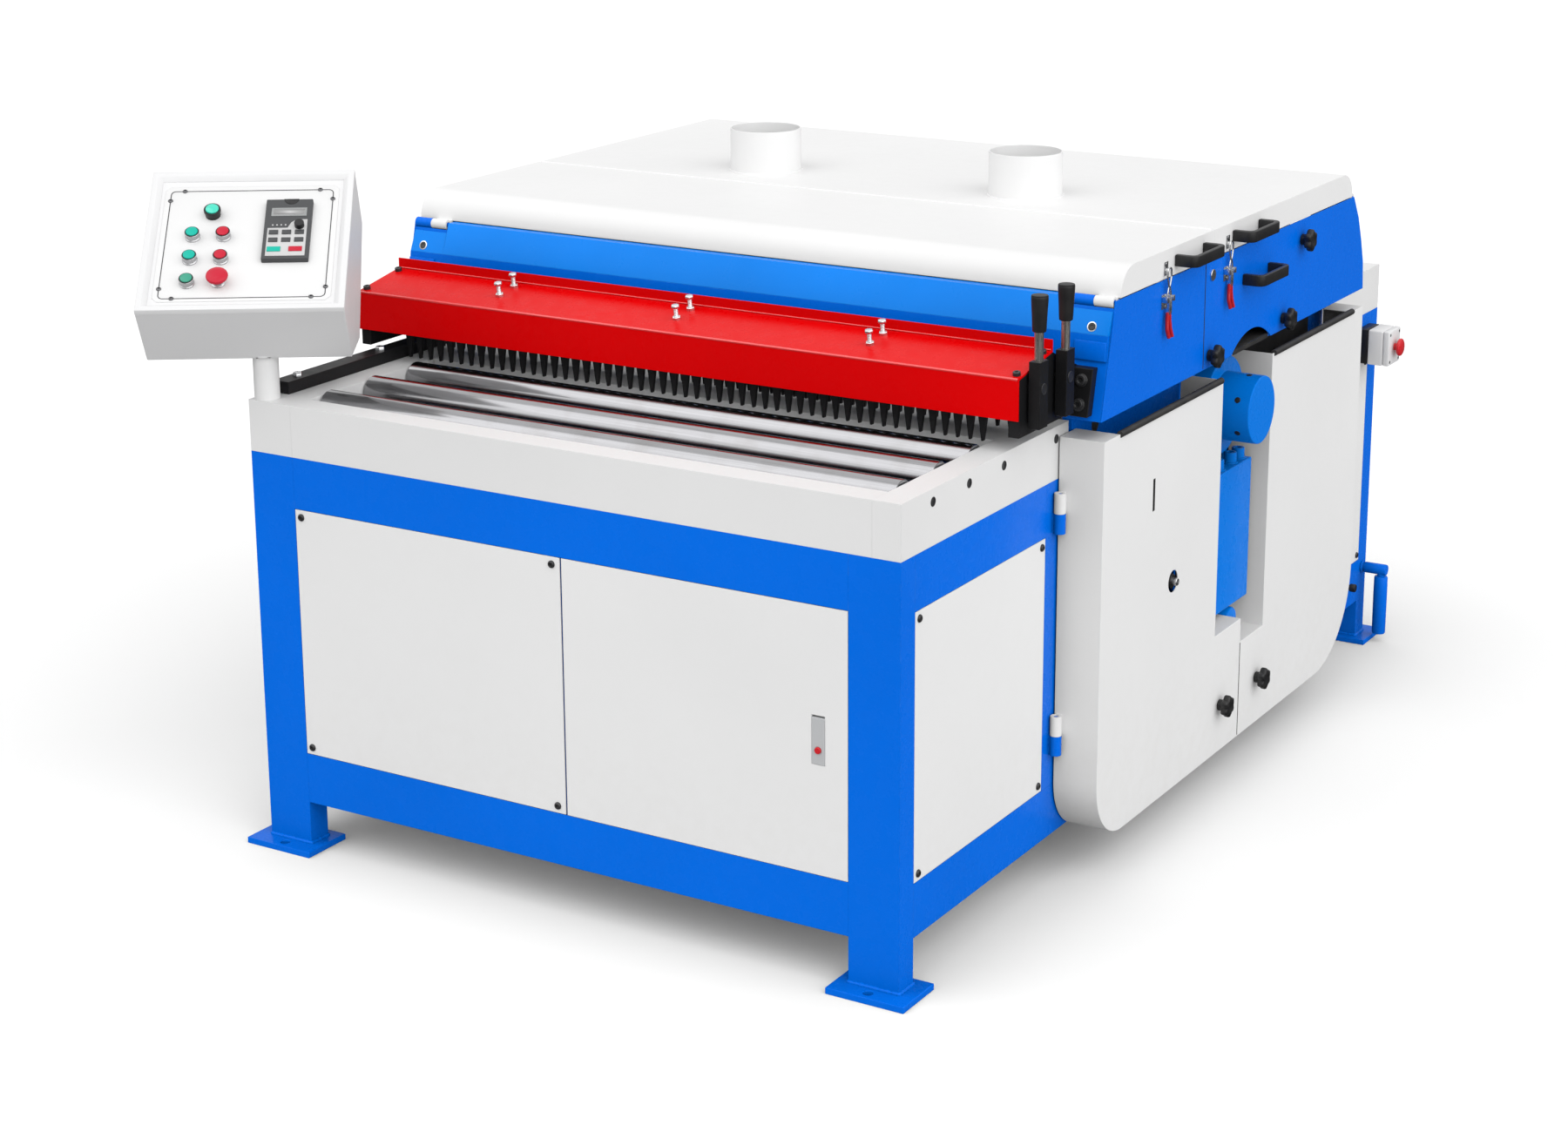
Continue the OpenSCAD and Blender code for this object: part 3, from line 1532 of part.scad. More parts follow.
// Desk-shaped sheet housing with a boss that sits on the post
module console_box() {
    floor_z = table_h + console_floor;
    back = face_y + console_slope_y;
    side = [[face_y + console_chin, floor_z], [console_heel, floor_z],
        [back + console_tail, face_z + console_slope_z - console_tail_drop],
        [back, face_z + console_slope_z], [face_y, face_z]];
    xs = [console_shift - console_w / 2, console_shift + console_w / 2];
    color(white) {
        difference() {
            union() {
                at_console() {
                    difference() {
                        along_x(xs)
                            polygon(side);
                        along_x([xs[0] + console_wall, xs[1] - console_wall])
                            polygon(inset(side, console_wall));
                    }
                    bar_z(console_boss_r, 0, 0, [floor_z, floor_z + console_boss_l]);
                }
            }
            at_console() {
                bar_z(post_r + running_fit, 0, 0,
                    [floor_z - overrun, table_h + post_rise + body_gap]);
                bar_z(button_r, gland_x, gland_y, [floor_z - overrun, floor_z + console_wall + overrun]);
            }
            at_face() {
                for (u = button_cols, v = button_rows)
                    translate([u, v, -console_wall - overrun])
                        cylinder(r = stem_r + running_fit, h = console_wall + overrun + overrun);
            }
        }
    }
}

// Speed controller's keypad housing
module keypad() {
    color(grey) at_face()
        difference() {
            translate([keypad_x, keypad_v, running_fit])
                cube([keypad_w, keypad_l, keypad_t]);
            translate([dial_x, dial_v, keypad_t / 2])
                cylinder(r = dial_r / 2 + running_fit, h = keypad_t);
        }
}

// Speed dial on the keypad
module keypad_dial() {
    color(black) at_face()
        translate([dial_x, dial_v, keypad_t / 2 + body_gap]) {
            cylinder(r = dial_r / 2, h = keypad_t / 2);
            translate([0, 0, keypad_t / 2])
                cylinder(r = dial_r, h = dial_h);
        }
}

// Push button on the console face
module push_button(u, v, r, h) {
    at_face()
        translate([u, v, 0]) {
            translate([0, 0, -stem_in])
                cylinder(r = stem_r, h = stem_in + button_gap + overrun);
            translate([0, 0, button_gap])
                cylinder(r = r, h = h - button_gap);
        }
}

module start_button_1() color(green) push_button(button_cols[0], button_rows[2], button_r, button_h);
module stop_button_1() color(red) push_button(button_cols[1], button_rows[2], button_r, button_h);
module start_button_2() color(green) push_button(button_cols[0], button_rows[1], button_r, button_h);
module stop_button_2() color(red) push_button(button_cols[1], button_rows[1], button_r, button_h);
module reset_button() color(green) push_button(button_cols[0], button_rows[0], button_r, button_h);

// Mushroom stop button on the console
module console_stop() {
    color(red)
        push_button(button_cols[1], button_rows[0], mushroom_r, mushroom_h);
}

foot_plates();
frame_legs();
frame_rails();
fixed_panels();
panel_screws();
hex_bolts();
table_side_bars();
table_cross_bars();
side_walls();
fence_rail();
control_post();
hood_plates();
hood_sides();
finger_guard();
guard_arms();
bearing_housing();
stop_box();
stop_button();
spindle_shaft();
saw_blades();
infeed_roller_1();
infeed_roller_2();
infeed_roller_3();
outfeed_roller();
feed_roller_front();
feed_roller_rear();
press_roller_front();
press_roller_rear();
electrical_door();
door_latch();
latch_button();
front_belt_cover();
front_cover_knob();
rear_belt_cover();
rear_cover_knob();
side_door();
side_door_handle();
side_door_knob_1();
side_door_knob_2();
side_door_knob_3();
front_lid();
front_lid_handle();
rear_lid();
rear_lid_handle();
front_latch_lever();
front_latch_bail();
rear_latch_lever();
rear_latch_bail();
finger_row_front();
finger_row_rear();
lift_crank();
console_box();
keypad();
keypad_dial();
start_button_1();
stop_button_1();
start_button_2();
stop_button_2();
reset_button();
console_stop();
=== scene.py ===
import math

import bmesh
import bpy
from mathutils import Matrix, Vector


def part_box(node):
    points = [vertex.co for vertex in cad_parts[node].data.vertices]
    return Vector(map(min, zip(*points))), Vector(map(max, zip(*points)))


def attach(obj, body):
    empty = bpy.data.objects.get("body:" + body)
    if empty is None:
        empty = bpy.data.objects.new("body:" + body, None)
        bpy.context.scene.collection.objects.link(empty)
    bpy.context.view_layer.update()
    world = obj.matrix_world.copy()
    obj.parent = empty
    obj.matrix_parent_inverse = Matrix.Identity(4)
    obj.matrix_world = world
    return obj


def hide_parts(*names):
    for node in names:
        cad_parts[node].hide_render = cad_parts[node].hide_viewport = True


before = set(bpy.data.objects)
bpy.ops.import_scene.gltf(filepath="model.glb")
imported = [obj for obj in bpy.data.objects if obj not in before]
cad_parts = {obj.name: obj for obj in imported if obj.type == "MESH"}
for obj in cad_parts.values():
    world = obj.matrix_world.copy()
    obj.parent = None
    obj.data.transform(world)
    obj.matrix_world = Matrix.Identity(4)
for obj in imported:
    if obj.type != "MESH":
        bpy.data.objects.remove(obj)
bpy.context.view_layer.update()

# Studio
# A pale seamless floor under a soft white sky, a broad high lamp from the front left and a lower one
# from the right. The floor throws little light back, so the sides stay deeper than the tops.
# The camera stands to the operator's right and looks down on the hood.
mm = 0.001
rim_low, rim_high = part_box("table_side_bars")
middle_x = (rim_low.x + rim_high.x) / 2
front_y = rim_low.y
scene = bpy.context.scene
scene.view_settings.view_transform = "Standard"


def at(x, y, z):
    """Place on the machine: millimetres from its middle, its front face and the floor."""
    return Vector((middle_x + x * mm, front_y + y * mm, z * mm))


def wire(tree, kind, inputs=None, **properties):
    """Adds a node to a tree, sets its properties and fills or joins its inputs."""
    node = tree.nodes.new(kind)
    for key, value in properties.items():
        setattr(node, key, value)
    for key, value in (inputs or {}).items():
        if isinstance(value, bpy.types.NodeSocket):
            tree.links.new(value, node.inputs[key])
        else:
            node.inputs[key].default_value = value
    return node


def bare_material(name):
    """New material with an empty node tree, and that tree."""
    material = bpy.data.materials.new(name)
    material.use_nodes = True
    material.node_tree.nodes.clear()
    return material, material.node_tree


def link(name, data):
    """New object in the scene."""
    thing = bpy.data.objects.new(name, data)
    scene.collection.objects.link(thing)
    return thing


floor_half = 30.0
floor_bounce = 0.5
floor_gloss = 0.15
floor_mesh = bpy.data.meshes.new("floor")
floor_corners = [(sx * floor_half, sy * floor_half, 0) for sx, sy in ((-1, -1), (1, -1), (1, 1), (-1, 1))]
floor_mesh.from_pydata(floor_corners, [], [(0, 1, 2, 3)])
floor = link("floor", floor_mesh)
floor_paper, tree = bare_material("floor_paper")
fibre = wire(tree, "ShaderNodeTexNoise", {"Scale": 60.0, "Detail": 4.0})
tone = wire(tree, "ShaderNodeMapRange", {"Value": fibre.outputs["Fac"], "To Min": 0.965, "To Max": 0.985})
ray = wire(tree, "ShaderNodeLightPath")
dim = wire(tree, "ShaderNodeMapRange", {"Value": ray.outputs["Is Camera Ray"], "To Min": floor_bounce})
mirrored = wire(tree, "ShaderNodeMapRange", {"Value": ray.outputs["Is Glossy Ray"], "To Min": 1.0,
                                             "To Max": floor_gloss})
dim = wire(tree, "ShaderNodeMath", {0: dim.outputs["Result"], 1: mirrored.outputs["Result"]},
           operation="MULTIPLY")
shown = wire(tree, "ShaderNodeMath", {0: tone.outputs["Result"], 1: dim.outputs[0]}, operation="MULTIPLY")
matt = wire(tree, "ShaderNodeBsdfDiffuse", {"Color": shown.outputs[0]})
wire(tree, "ShaderNodeOutputMaterial", {"Surface": matt.outputs[0]})
floor_mesh.materials.append(floor_paper)

sky_strength = 0.64
gloss_low = 0.2
gloss_high = 1.2
world = bpy.data.worlds.new("sky")
world.use_nodes = True
tree = world.node_tree
tree.nodes.clear()
ray = wire(tree, "ShaderNodeLightPath")
toward = wire(tree, "ShaderNodeTexCoord")
toward = wire(tree, "ShaderNodeSeparateXYZ", {"Vector": toward.outputs["Generated"]})
gloss = wire(tree, "ShaderNodeMapRange", {"Value": toward.outputs["Z"], "From Max": 0.6,
                                          "To Min": gloss_low, "To Max": gloss_high})
level = wire(tree, "ShaderNodeMix", {"Factor": ray.outputs["Is Glossy Ray"], "A": sky_strength,
                                     "B": gloss.outputs["Result"]})
level = wire(tree, "ShaderNodeMix", {"Factor": ray.outputs["Is Camera Ray"], "A": level.outputs["Result"],
                                     "B": 1.0})
glow = wire(tree, "ShaderNodeBackground", {"Color": (1, 1, 1, 1), "Strength": level.outputs["Result"]})
wire(tree, "ShaderNodeOutputWorld", {"Surface": glow.outputs[0]})
scene.world = world


def sun(name, azimuth, elevation, strength, breadth):
    """Soft distant lamp; the azimuth turns from the operator's side toward the right."""
    lamp = bpy.data.lights.new(name, "SUN")
    lamp.energy = strength
    lamp.angle = math.radians(breadth)
    body = link(name, lamp)
    body.rotation_euler = (math.radians(90 - elevation), 0, math.radians(azimuth))


sun("key", azimuth=-30, elevation=48, strength=1.1, breadth=70)
sun("fill", azimuth=72, elevation=28, strength=1.8, breadth=80)

camera_place = at(2910, -3999.6, 2231.5)
camera_azimuth = 31.317
camera_elevation = 14.745
camera_roll = -0.341
camera_data = bpy.data.cameras.new("camera")
camera_data.sensor_width = 36.0
camera_data.lens = 66.77
camera_data.shift_y = -0.09
camera_data.clip_end = 100.0
camera = link("camera", camera_data)
camera.matrix_world = (Matrix.Translation(camera_place)
                       @ Matrix.Rotation(math.radians(camera_azimuth), 4, "Z")
                       @ Matrix.Rotation(math.radians(90 - camera_elevation), 4, "X")
                       @ Matrix.Rotation(math.radians(camera_roll), 4, "Z"))
scene.camera = camera

# Feet and welded frame
# Rectangular steel tube on thick foot plates, welded, ground and sprayed with glossy blue enamel.
# The weld beads round the legs were left as laid and painted over.


def skin_group():
    """Shared effect of a sprayed or moulded skin: cloudy tone, orange peel, settled dust and a colour at
    rubbed edges, which on the guard's folds is a painted highlight.
    """
    tree = bpy.data.node_groups.new("sprayed_skin", "ShaderNodeTree")
    face = tree.interface
    face.new_socket("Color", in_out="INPUT", socket_type="NodeSocketColor")
    for name in ("Roughness", "Tone", "Peel Scale", "Dust", "Wear"):
        face.new_socket(name, in_out="INPUT", socket_type="NodeSocketFloat")
    face.new_socket("Bare Color", in_out="INPUT", socket_type="NodeSocketColor")
    face.new_socket("Color", in_out="OUTPUT", socket_type="NodeSocketColor")
    face.new_socket("Roughness", in_out="OUTPUT", socket_type="NodeSocketFloat")
    face.new_socket("Height", in_out="OUTPUT", socket_type="NodeSocketFloat")
    face.new_socket("Normal", in_out="OUTPUT", socket_type="NodeSocketVector")
    given = tree.nodes.new("NodeGroupInput").outputs
    coords = tree.nodes.new("ShaderNodeTexCoord").outputs["Object"]
    cloud = wire(tree, "ShaderNodeTexNoise", {"Vector": coords, "Scale": 2.3, "Detail": 3.0})
    smear = wire(tree, "ShaderNodeTexNoise", {"Vector": coords, "Scale": 34.0, "Detail": 6.0,
                                              "Roughness": 0.65})
    peel = wire(tree, "ShaderNodeTexNoise", {"Vector": coords, "Scale": given["Peel Scale"], "Detail": 2.0})
    lowest = wire(tree, "ShaderNodeMath", {0: 1.0, 1: given["Tone"]}, operation="SUBTRACT")
    highest = wire(tree, "ShaderNodeMath", {0: 1.0, 1: given["Tone"]}, operation="ADD")
    value = wire(tree, "ShaderNodeMapRange", {"Value": cloud.outputs["Fac"], "From Min": 0.3, "From Max": 0.7,
                                              "To Min": lowest.outputs[0], "To Max": highest.outputs[0]})
    shade = wire(tree, "ShaderNodeHueSaturation", {"Color": given["Color"], "Value": value.outputs["Result"]})
    height = wire(tree, "ShaderNodeSeparateXYZ", {"Vector": coords})
    low = wire(tree, "ShaderNodeMapRange", {"Value": height.outputs["Z"], "From Max": 0.4, "To Min": 1.0,
                                            "To Max": 0.12})
    grain = wire(tree, "ShaderNodeMapRange", {"Value": smear.outputs["Fac"], "From Min": 0.42,
                                              "From Max": 0.72})
    dust = wire(tree, "ShaderNodeMath", {0: low.outputs["Result"], 1: grain.outputs["Result"]},
                operation="MULTIPLY")
    dust = wire(tree, "ShaderNodeMath", {0: dust.outputs[0], 1: given["Dust"]}, operation="MULTIPLY",
                use_clamp=True)
    dusty = wire(tree, "ShaderNodeMix", {"Factor": dust.outputs[0], "A": shade.outputs["Color"],
                                         "B": (0.47, 0.43, 0.37, 1)}, data_type="RGBA")
    soft = wire(tree, "ShaderNodeBevel", {"Radius": 1.6 * mm}, samples=6)
    sharp = tree.nodes.new("ShaderNodeNewGeometry").outputs["Normal"]
    bend = wire(tree, "ShaderNodeVectorMath", {0: soft.outputs[0], 1: sharp}, operation="DOT_PRODUCT")
    edge = wire(tree, "ShaderNodeMapRange", {"Value": bend.outputs["Value"], "From Min": 0.97,
                                             "From Max": 0.80})
    chips = wire(tree, "ShaderNodeMapRange", {"Value": smear.outputs["Fac"], "From Min": 0.52,
                                              "From Max": 0.62})
    rub = wire(tree, "ShaderNodeMath", {0: edge.outputs["Result"], 1: chips.outputs["Result"]},
               operation="MULTIPLY")
    rub = wire(tree, "ShaderNodeMath", {0: rub.outputs[0], 1: given["Wear"]}, operation="MULTIPLY",
               use_clamp=True)
    worn = wire(tree, "ShaderNodeMix", {"Factor": rub.outputs[0], "A": dusty.outputs["Result"],
                                        "B": given["Bare Color"]}, data_type="RGBA")
    drift = wire(tree, "ShaderNodeMapRange", {"Value": smear.outputs["Fac"], "From Min": 0.25,
                                              "From Max": 0.75, "To Min": -0.07, "To Max": 0.09})
    rough = wire(tree, "ShaderNodeMath", {0: given["Roughness"], 1: drift.outputs["Result"]},
                 operation="ADD", use_clamp=True)
    wire(tree, "NodeGroupOutput", {"Color": worn.outputs["Result"], "Roughness": rough.outputs[0],
                                   "Height": peel.outputs["Fac"], "Normal": soft.outputs[0]})
    return tree


sprayed_skin = skin_group()


def sprayed(name, color, roughness, peel=170.0, peel_depth=0.06, tone=0.04, dust=0.15, edge_share=0.3,
            edge_color=(0.5, 0.5, 0.5), coat=0.0, shine=0.5, bounce=None):
    """Painted or moulded finish on the shared skin; bounce is the grey that lights its neighbours."""
    material, tree = bare_material(name)
    skin = wire(tree, "ShaderNodeGroup", {"Color": (*color, 1), "Roughness": roughness, "Tone": tone,
                                          "Peel Scale": peel, "Dust": dust, "Wear": edge_share,
                                          "Bare Color": (*edge_color, 1)}, node_tree=sprayed_skin)
    bump = wire(tree, "ShaderNodeBump", {"Strength": peel_depth, "Distance": 1 * mm,
                                         "Height": skin.outputs["Height"], "Normal": skin.outputs["Normal"]})
    paint = skin.outputs["Color"]
    if bounce:
        ray = wire(tree, "ShaderNodeLightPath")
        grey = wire(tree, "ShaderNodeMix", {"Factor": ray.outputs["Is Diffuse Ray"], "A": paint,
                                            "B": (bounce, bounce, bounce, 1)}, data_type="RGBA")
        paint = grey.outputs["Result"]
    body = wire(tree, "ShaderNodeBsdfPrincipled", {"Base Color": paint, "Normal": bump.outputs[0],
                                                   "Roughness": skin.outputs["Roughness"],
                                                   "Coat Weight": coat, "Coat Roughness": 0.12,
                                                   "Specular IOR Level": shine})
    wire(tree, "ShaderNodeOutputMaterial", {"Surface": body.outputs[0]})
    return material


def wear_finish(material, *names):
    """Gives CAD pieces their finish."""
    for name in names:
        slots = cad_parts[name].data.materials
        slots.clear()
        slots.append(material)


def welded(node):
    """Joins the loose triangles of a CAD piece, so that later modifiers see its edges."""
    weld = node.modifiers.new("weld", "WELD")
    weld.merge_threshold = 0.01 * mm


def soften(width, *names):
    """Breaks the sharp edges of CAD pieces, as bending, grinding or moulding leaves them."""
    for name in names:
        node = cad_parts[name]
        welded(node)
        flat = node.modifiers.new("flat", "DECIMATE")
        flat.decimate_type = "DISSOLVE"
        flat.angle_limit = math.radians(0.5)
        bevel = node.modifiers.new("edges", "BEVEL")
        bevel.width = width * mm
        bevel.segments = 2
        bevel.limit_method = "ANGLE"
        bevel.angle_limit = math.radians(40)
        bevel.use_clamp_overlap = False
        normals = node.modifiers.new("normals", "WEIGHTED_NORMAL")
        normals.keep_sharp = True


chipped_blue = (0.10, 0.30, 0.72)
blue_bounce = 0.10
blue_enamel = sprayed("blue_enamel", (0.0, 0.150, 0.78), 0.26, peel_depth=0.04, tone=0.04, dust=0.0,
                      edge_color=chipped_blue, shine=0.09, bounce=blue_bounce)
wear_finish(blue_enamel, "foot_plates", "frame_legs", "frame_rails")
soften(1.5, "foot_plates")


def grow_tree(name, inputs):
    """Geometry tree with named inputs, and the sockets of its input node."""
    tree = bpy.data.node_groups.new(name, "GeometryNodeTree")
    tree.interface.new_socket("Geometry", in_out="OUTPUT", socket_type="NodeSocketGeometry")
    for label, kind in inputs:
        tree.interface.new_socket(label, in_out="INPUT", socket_type=kind)
    return tree, tree.nodes.new("NodeGroupInput").outputs


def rod_tree():
    """Round rod, bead or edging along a path, with filleted bends and, for welds, a ripple."""
    tree, given = grow_tree("bent_rod", (("Path", "NodeSocketGeometry"), ("Radius", "NodeSocketFloat"),
                                         ("Bend", "NodeSocketFloat"), ("Ripple", "NodeSocketFloat"),
                                         ("Step", "NodeSocketFloat"), ("Finish", "NodeSocketMaterial")))
    curve = wire(tree, "GeometryNodeMeshToCurve", {"Mesh": given["Path"]})
    round_off = wire(tree, "GeometryNodeFilletCurve", {"Curve": curve.outputs[0], "Count": 6,
                                                       "Radius": given["Bend"], "Limit Radius": True},
                     mode="POLY")
    points = wire(tree, "GeometryNodeResampleCurve", {"Curve": round_off.outputs[0], "Length": given["Step"]},
                  mode="LENGTH")
    place = tree.nodes.new("GeometryNodeInputPosition")
    wave = wire(tree, "ShaderNodeTexNoise", {"Vector": place.outputs[0], "Scale": 260.0, "Detail": 1.0})
    wave = wire(tree, "ShaderNodeMath", {0: wave.outputs["Fac"], 1: 0.5}, operation="SUBTRACT")
    wave = wire(tree, "ShaderNodeMath", {0: wave.outputs[0], 1: given["Ripple"], 2: 1.0},
                operation="MULTIPLY_ADD")
    ring = wire(tree, "GeometryNodeCurvePrimitiveCircle", {"Resolution": 12, "Radius": given["Radius"]})
    tube = wire(tree, "GeometryNodeCurveToMesh", {"Curve": points.outputs[0],
                                                  "Profile Curve": ring.outputs["Curve"],
                                                  "Scale": wave.outputs[0], "Fill Caps": True})
    smooth = wire(tree, "GeometryNodeSetShadeSmooth", {"Geometry": tube.outputs[0]})
    solid = wire(tree, "GeometryNodeRealizeInstances", {"Geometry": smooth.outputs[0]})
    finish = wire(tree, "GeometryNodeSetMaterial", {"Geometry": solid.outputs[0],
                                                    "Material": given["Finish"]})
    wire(tree, "NodeGroupOutput", {"Geometry": finish.outputs[0]})
    return tree


bent_rod = rod_tree()


def grown(name, points, edges, tree, values, facing=None):
    """Runs a geometry tree on points and edges and keeps the result as a plain mesh."""
    mesh = bpy.data.meshes.new(name)
    mesh.from_pydata(points, edges, [])
    if facing:
        heading = mesh.attributes.new("facing", "FLOAT_VECTOR", "POINT")
        heading.data.foreach_set("vector", [c for f in facing for c in f])
    piece = link(name, mesh)
    modifier = piece.modifiers.new("grow", "NODES")
    modifier.node_group = tree
    for item in tree.interface.items_tree:
        if item.in_out == "INPUT" and item.name in values:
            modifier[item.identifier] = values[item.name]
    evaluated = piece.evaluated_get(bpy.context.evaluated_depsgraph_get())
    kept = bpy.data.meshes.new_from_object(evaluated)
    piece.modifiers.clear()
    piece.data = kept
    return piece


def settle(piece, body):
    """A piece takes its place on a body of the machine."""
    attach(piece, body)
    return piece


def rod(name, paths, radius, material, body, bend=0.0, ripple=0.0, step=2.0, closed=False):
    """Rods or beads along one or more paths of points."""
    points, edges = [], []
    for path in paths:
        first = len(points)
        points += path
        edges += [(first + k, first + k + 1) for k in range(len(path) - 1)]
        if closed:
            edges.append((len(points) - 1, first))
    values = {"Radius": radius * mm, "Bend": bend * mm, "Ripple": ripple, "Step": step * mm,
              "Finish": material}
    return settle(grown(name, points, edges, bent_rod, values), body)


frame_half = 700
frame_long = 2240
leg_in = 600
leg_deep = 50
foot_top = 12
weld_paths = []
for side in (-1, 1):
    inner = side * leg_in
    outer = side * frame_half
    for front in (0, frame_long - leg_deep):
        rear = front + leg_deep
        round_leg = ((inner, front), (outer, front), (outer, rear), (inner, rear))
        weld_paths.append([at(x, y, foot_top + 1) for x, y in round_leg])
foot_bead = 4.0
rod("foot_welds", weld_paths, foot_bead, blue_enamel, "frame", ripple=0.9, step=1.6,
    closed=True)

# Panels and electrical door
# Folded white powder-coated sheets, screwed to tabs with black button-head screws.
# The door hangs on two pins and closes with a flush lever latch of cast alloy.
chipped_white = (0.6, 0.6, 0.62)
white_powder = sprayed("white_powder", (0.80, 0.80, 0.80), 0.46, peel=420.0, peel_depth=0.05, tone=0.015,
                       dust=0.1, edge_share=0.2, edge_color=chipped_white, shine=0.15)
wear_finish(white_powder, "fixed_panels", "electrical_door")
soften(0.5, "fixed_panels")


def turned(bm, place, profile, steps=36):
    """Turned solid: (radius, height[, flats]) rings along the local Z of place, in millimetres."""
    rings = []
    for r, h, *flats in profile:
        if r == 0:
            rings.append([bm.verts.new(place @ Vector((0, 0, h * mm)))])
            continue
        ring = []
        for k in range(steps):
            angle = 2 * math.pi * k / steps
            reach = r
            if flats:
                wedge = 2 * math.pi / flats[0]
                reach = r * math.cos(wedge / 2) / math.cos(angle % wedge - wedge / 2)
            spot = Vector((math.cos(angle) * reach, math.sin(angle) * reach, h))
            ring.append(bm.verts.new(place @ (spot * mm)))
        rings.append(ring)
    for a, b in zip(rings, rings[1:]):
        if len(a) == len(b) == 1:
            continue
        for k in range(steps):
            n = (k + 1) % steps
            corners = (a[k % len(a)], a[n % len(a)], b[n % len(b)], b[k % len(b)])
            bm.faces.new(list(dict.fromkeys(corners)))


def made(name, bm, material, crease=35):
    """Keeps a worked shape as an object with its doubles merged and its faces outward."""
    bmesh.ops.remove_doubles(bm, verts=bm.verts, dist=0.001 * mm)
    bmesh.ops.recalc_face_normals(bm, faces=bm.faces)
    mesh = bpy.data.meshes.new(name)
    bm.to_mesh(mesh)
    bm.free()
    mesh.polygons.foreach_set("use_smooth", [True] * len(mesh.polygons))
    mesh.set_sharp_from_angle(angle=math.radians(crease))
    mesh.materials.append(material)
    return link(name, mesh)


def turned_piece(name, place, profile, material, steps=36):
    """One turned solid as an object."""
    bm = bmesh.new()
    turned(bm, place, profile, steps)
    return made(name, bm, material)


def spread_tree():
    """Heads of screws and bolts set on points, each along its own facing."""
    tree, given = grow_tree("spread_heads", (("Points", "NodeSocketGeometry"), ("Head", "NodeSocketObject"),
                                             ("Finish", "NodeSocketMaterial")))
    heading = wire(tree, "GeometryNodeInputNamedAttribute", {"Name": "facing"}, data_type="FLOAT_VECTOR")
    turn = wire(tree, "FunctionNodeAlignRotationToVector", {"Vector": heading.outputs["Attribute"]}, axis="Z")
    head = wire(tree, "GeometryNodeObjectInfo", {"Object": given["Head"]}, transform_space="ORIGINAL")
    set_out = wire(tree, "GeometryNodeInstanceOnPoints", {"Points": given["Points"],
                                                          "Instance": head.outputs["Geometry"],
                                                          "Rotation": turn.outputs[0]})
    solid = wire(tree, "GeometryNodeRealizeInstances", {"Geometry": set_out.outputs[0]})
    finish = wire(tree, "GeometryNodeSetMaterial", {"Geometry": solid.outputs[0],
                                                    "Material": given["Finish"]})
    wire(tree, "NodeGroupOutput", {"Geometry": finish.outputs[0]})
    return tree


spread_heads = spread_tree()


def spread(name, profile, spots, material, body):
    """Turned heads on (place, facing) spots."""
    head = turned_piece(name + "_head", Matrix.Identity(4), profile, material, 24)
    places = [place for place, facing in spots]
    headings = [facing for place, facing in spots]
    piece = grown(name, places, [], spread_heads, {"Head": head, "Finish": material}, headings)
    bpy.data.objects.remove(head)
    return settle(piece, body)


toward_front = Vector((0, -1, 0))
toward_rear = Vector((0, 1, 0))
toward_right = Vector((1, 0, 0))
toward_left = Vector((-1, 0, 0))
black_oxide = sprayed("black_oxide", (0.018, 0.018, 0.02), 0.36, peel=600.0, peel_depth=0.1, dust=0.1,
                      edge_share=0.5, edge_color=(0.2, 0.2, 0.2))
tab_half = 15
panel_foot = 198
panel_head = 688
mullion = 6
front_panel_end = 540
rear_panel_start = 1940
rear_panel_end = frame_long - leg_deep
panel_spots = []
for z in (panel_foot + tab_half, panel_head - tab_half):
    panel_spots += [(at(x, 0, z), toward_front) for x in (tab_half - leg_in, mullion - tab_half)]
    panel_spots += [(at(x, frame_long, z), toward_rear) for x in (tab_half - leg_in, leg_in - tab_half)]
    for y in (leg_deep + tab_half, front_panel_end - tab_half, rear_panel_start + tab_half,
              rear_panel_end - tab_half):
        panel_spots += [(at(frame_half, y, z), toward_right), (at(-frame_half, y, z), toward_left)]
button_head = ((7.2, 0), (7.2, 0.8), (6.6, 2.4), (5.2, 3.6), (3.9, 4.1), (3.4, 4.1, 6), (3.3, 1.6, 6),
               (0, 1.2))
panel_buttons = spread("panel_button_screws", button_head, panel_spots, black_oxide, "frame")
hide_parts("panel_screws")
latch_alloy = sprayed("latch_alloy", (0.50, 0.51, 0.52), 0.38, peel=500.0, peel_depth=0.06, dust=0.0,
                      shine=0.4)
red_plastic = sprayed("red_plastic", (0.62, 0.012, 0.02), 0.3, peel=300.0, peel_depth=0.05, dust=0.0,
                      edge_share=0.0)
wear_finish(latch_alloy, "door_latch")
wear_finish(red_plastic, "latch_button")
soften(1.0, "door_latch", "latch_button")

# Table rim and bed
# Thick welded bars, planed and sprayed light grey, with the plated rollers' axles in bored seats.
# The black steel guide rail is bolted along the left bar.
rim_grey = sprayed("rim_grey", (0.77, 0.77, 0.77), 0.42, peel=260.0, peel_depth=0.06, tone=0.025, dust=0.1,
                   shine=0.35)
wear_finish(rim_grey, "table_side_bars", "table_cross_bars")
black_paint = sprayed("black_paint", (0.010, 0.010, 0.011), 0.4, peel=300.0, peel_depth=0.12, tone=0.15,
                      dust=0.04, edge_share=0.5, edge_color=(0.10, 0.10, 0.10), shine=0.18)
wear_finish(black_paint, "fence_rail")
soften(1.5, "fence_rail")


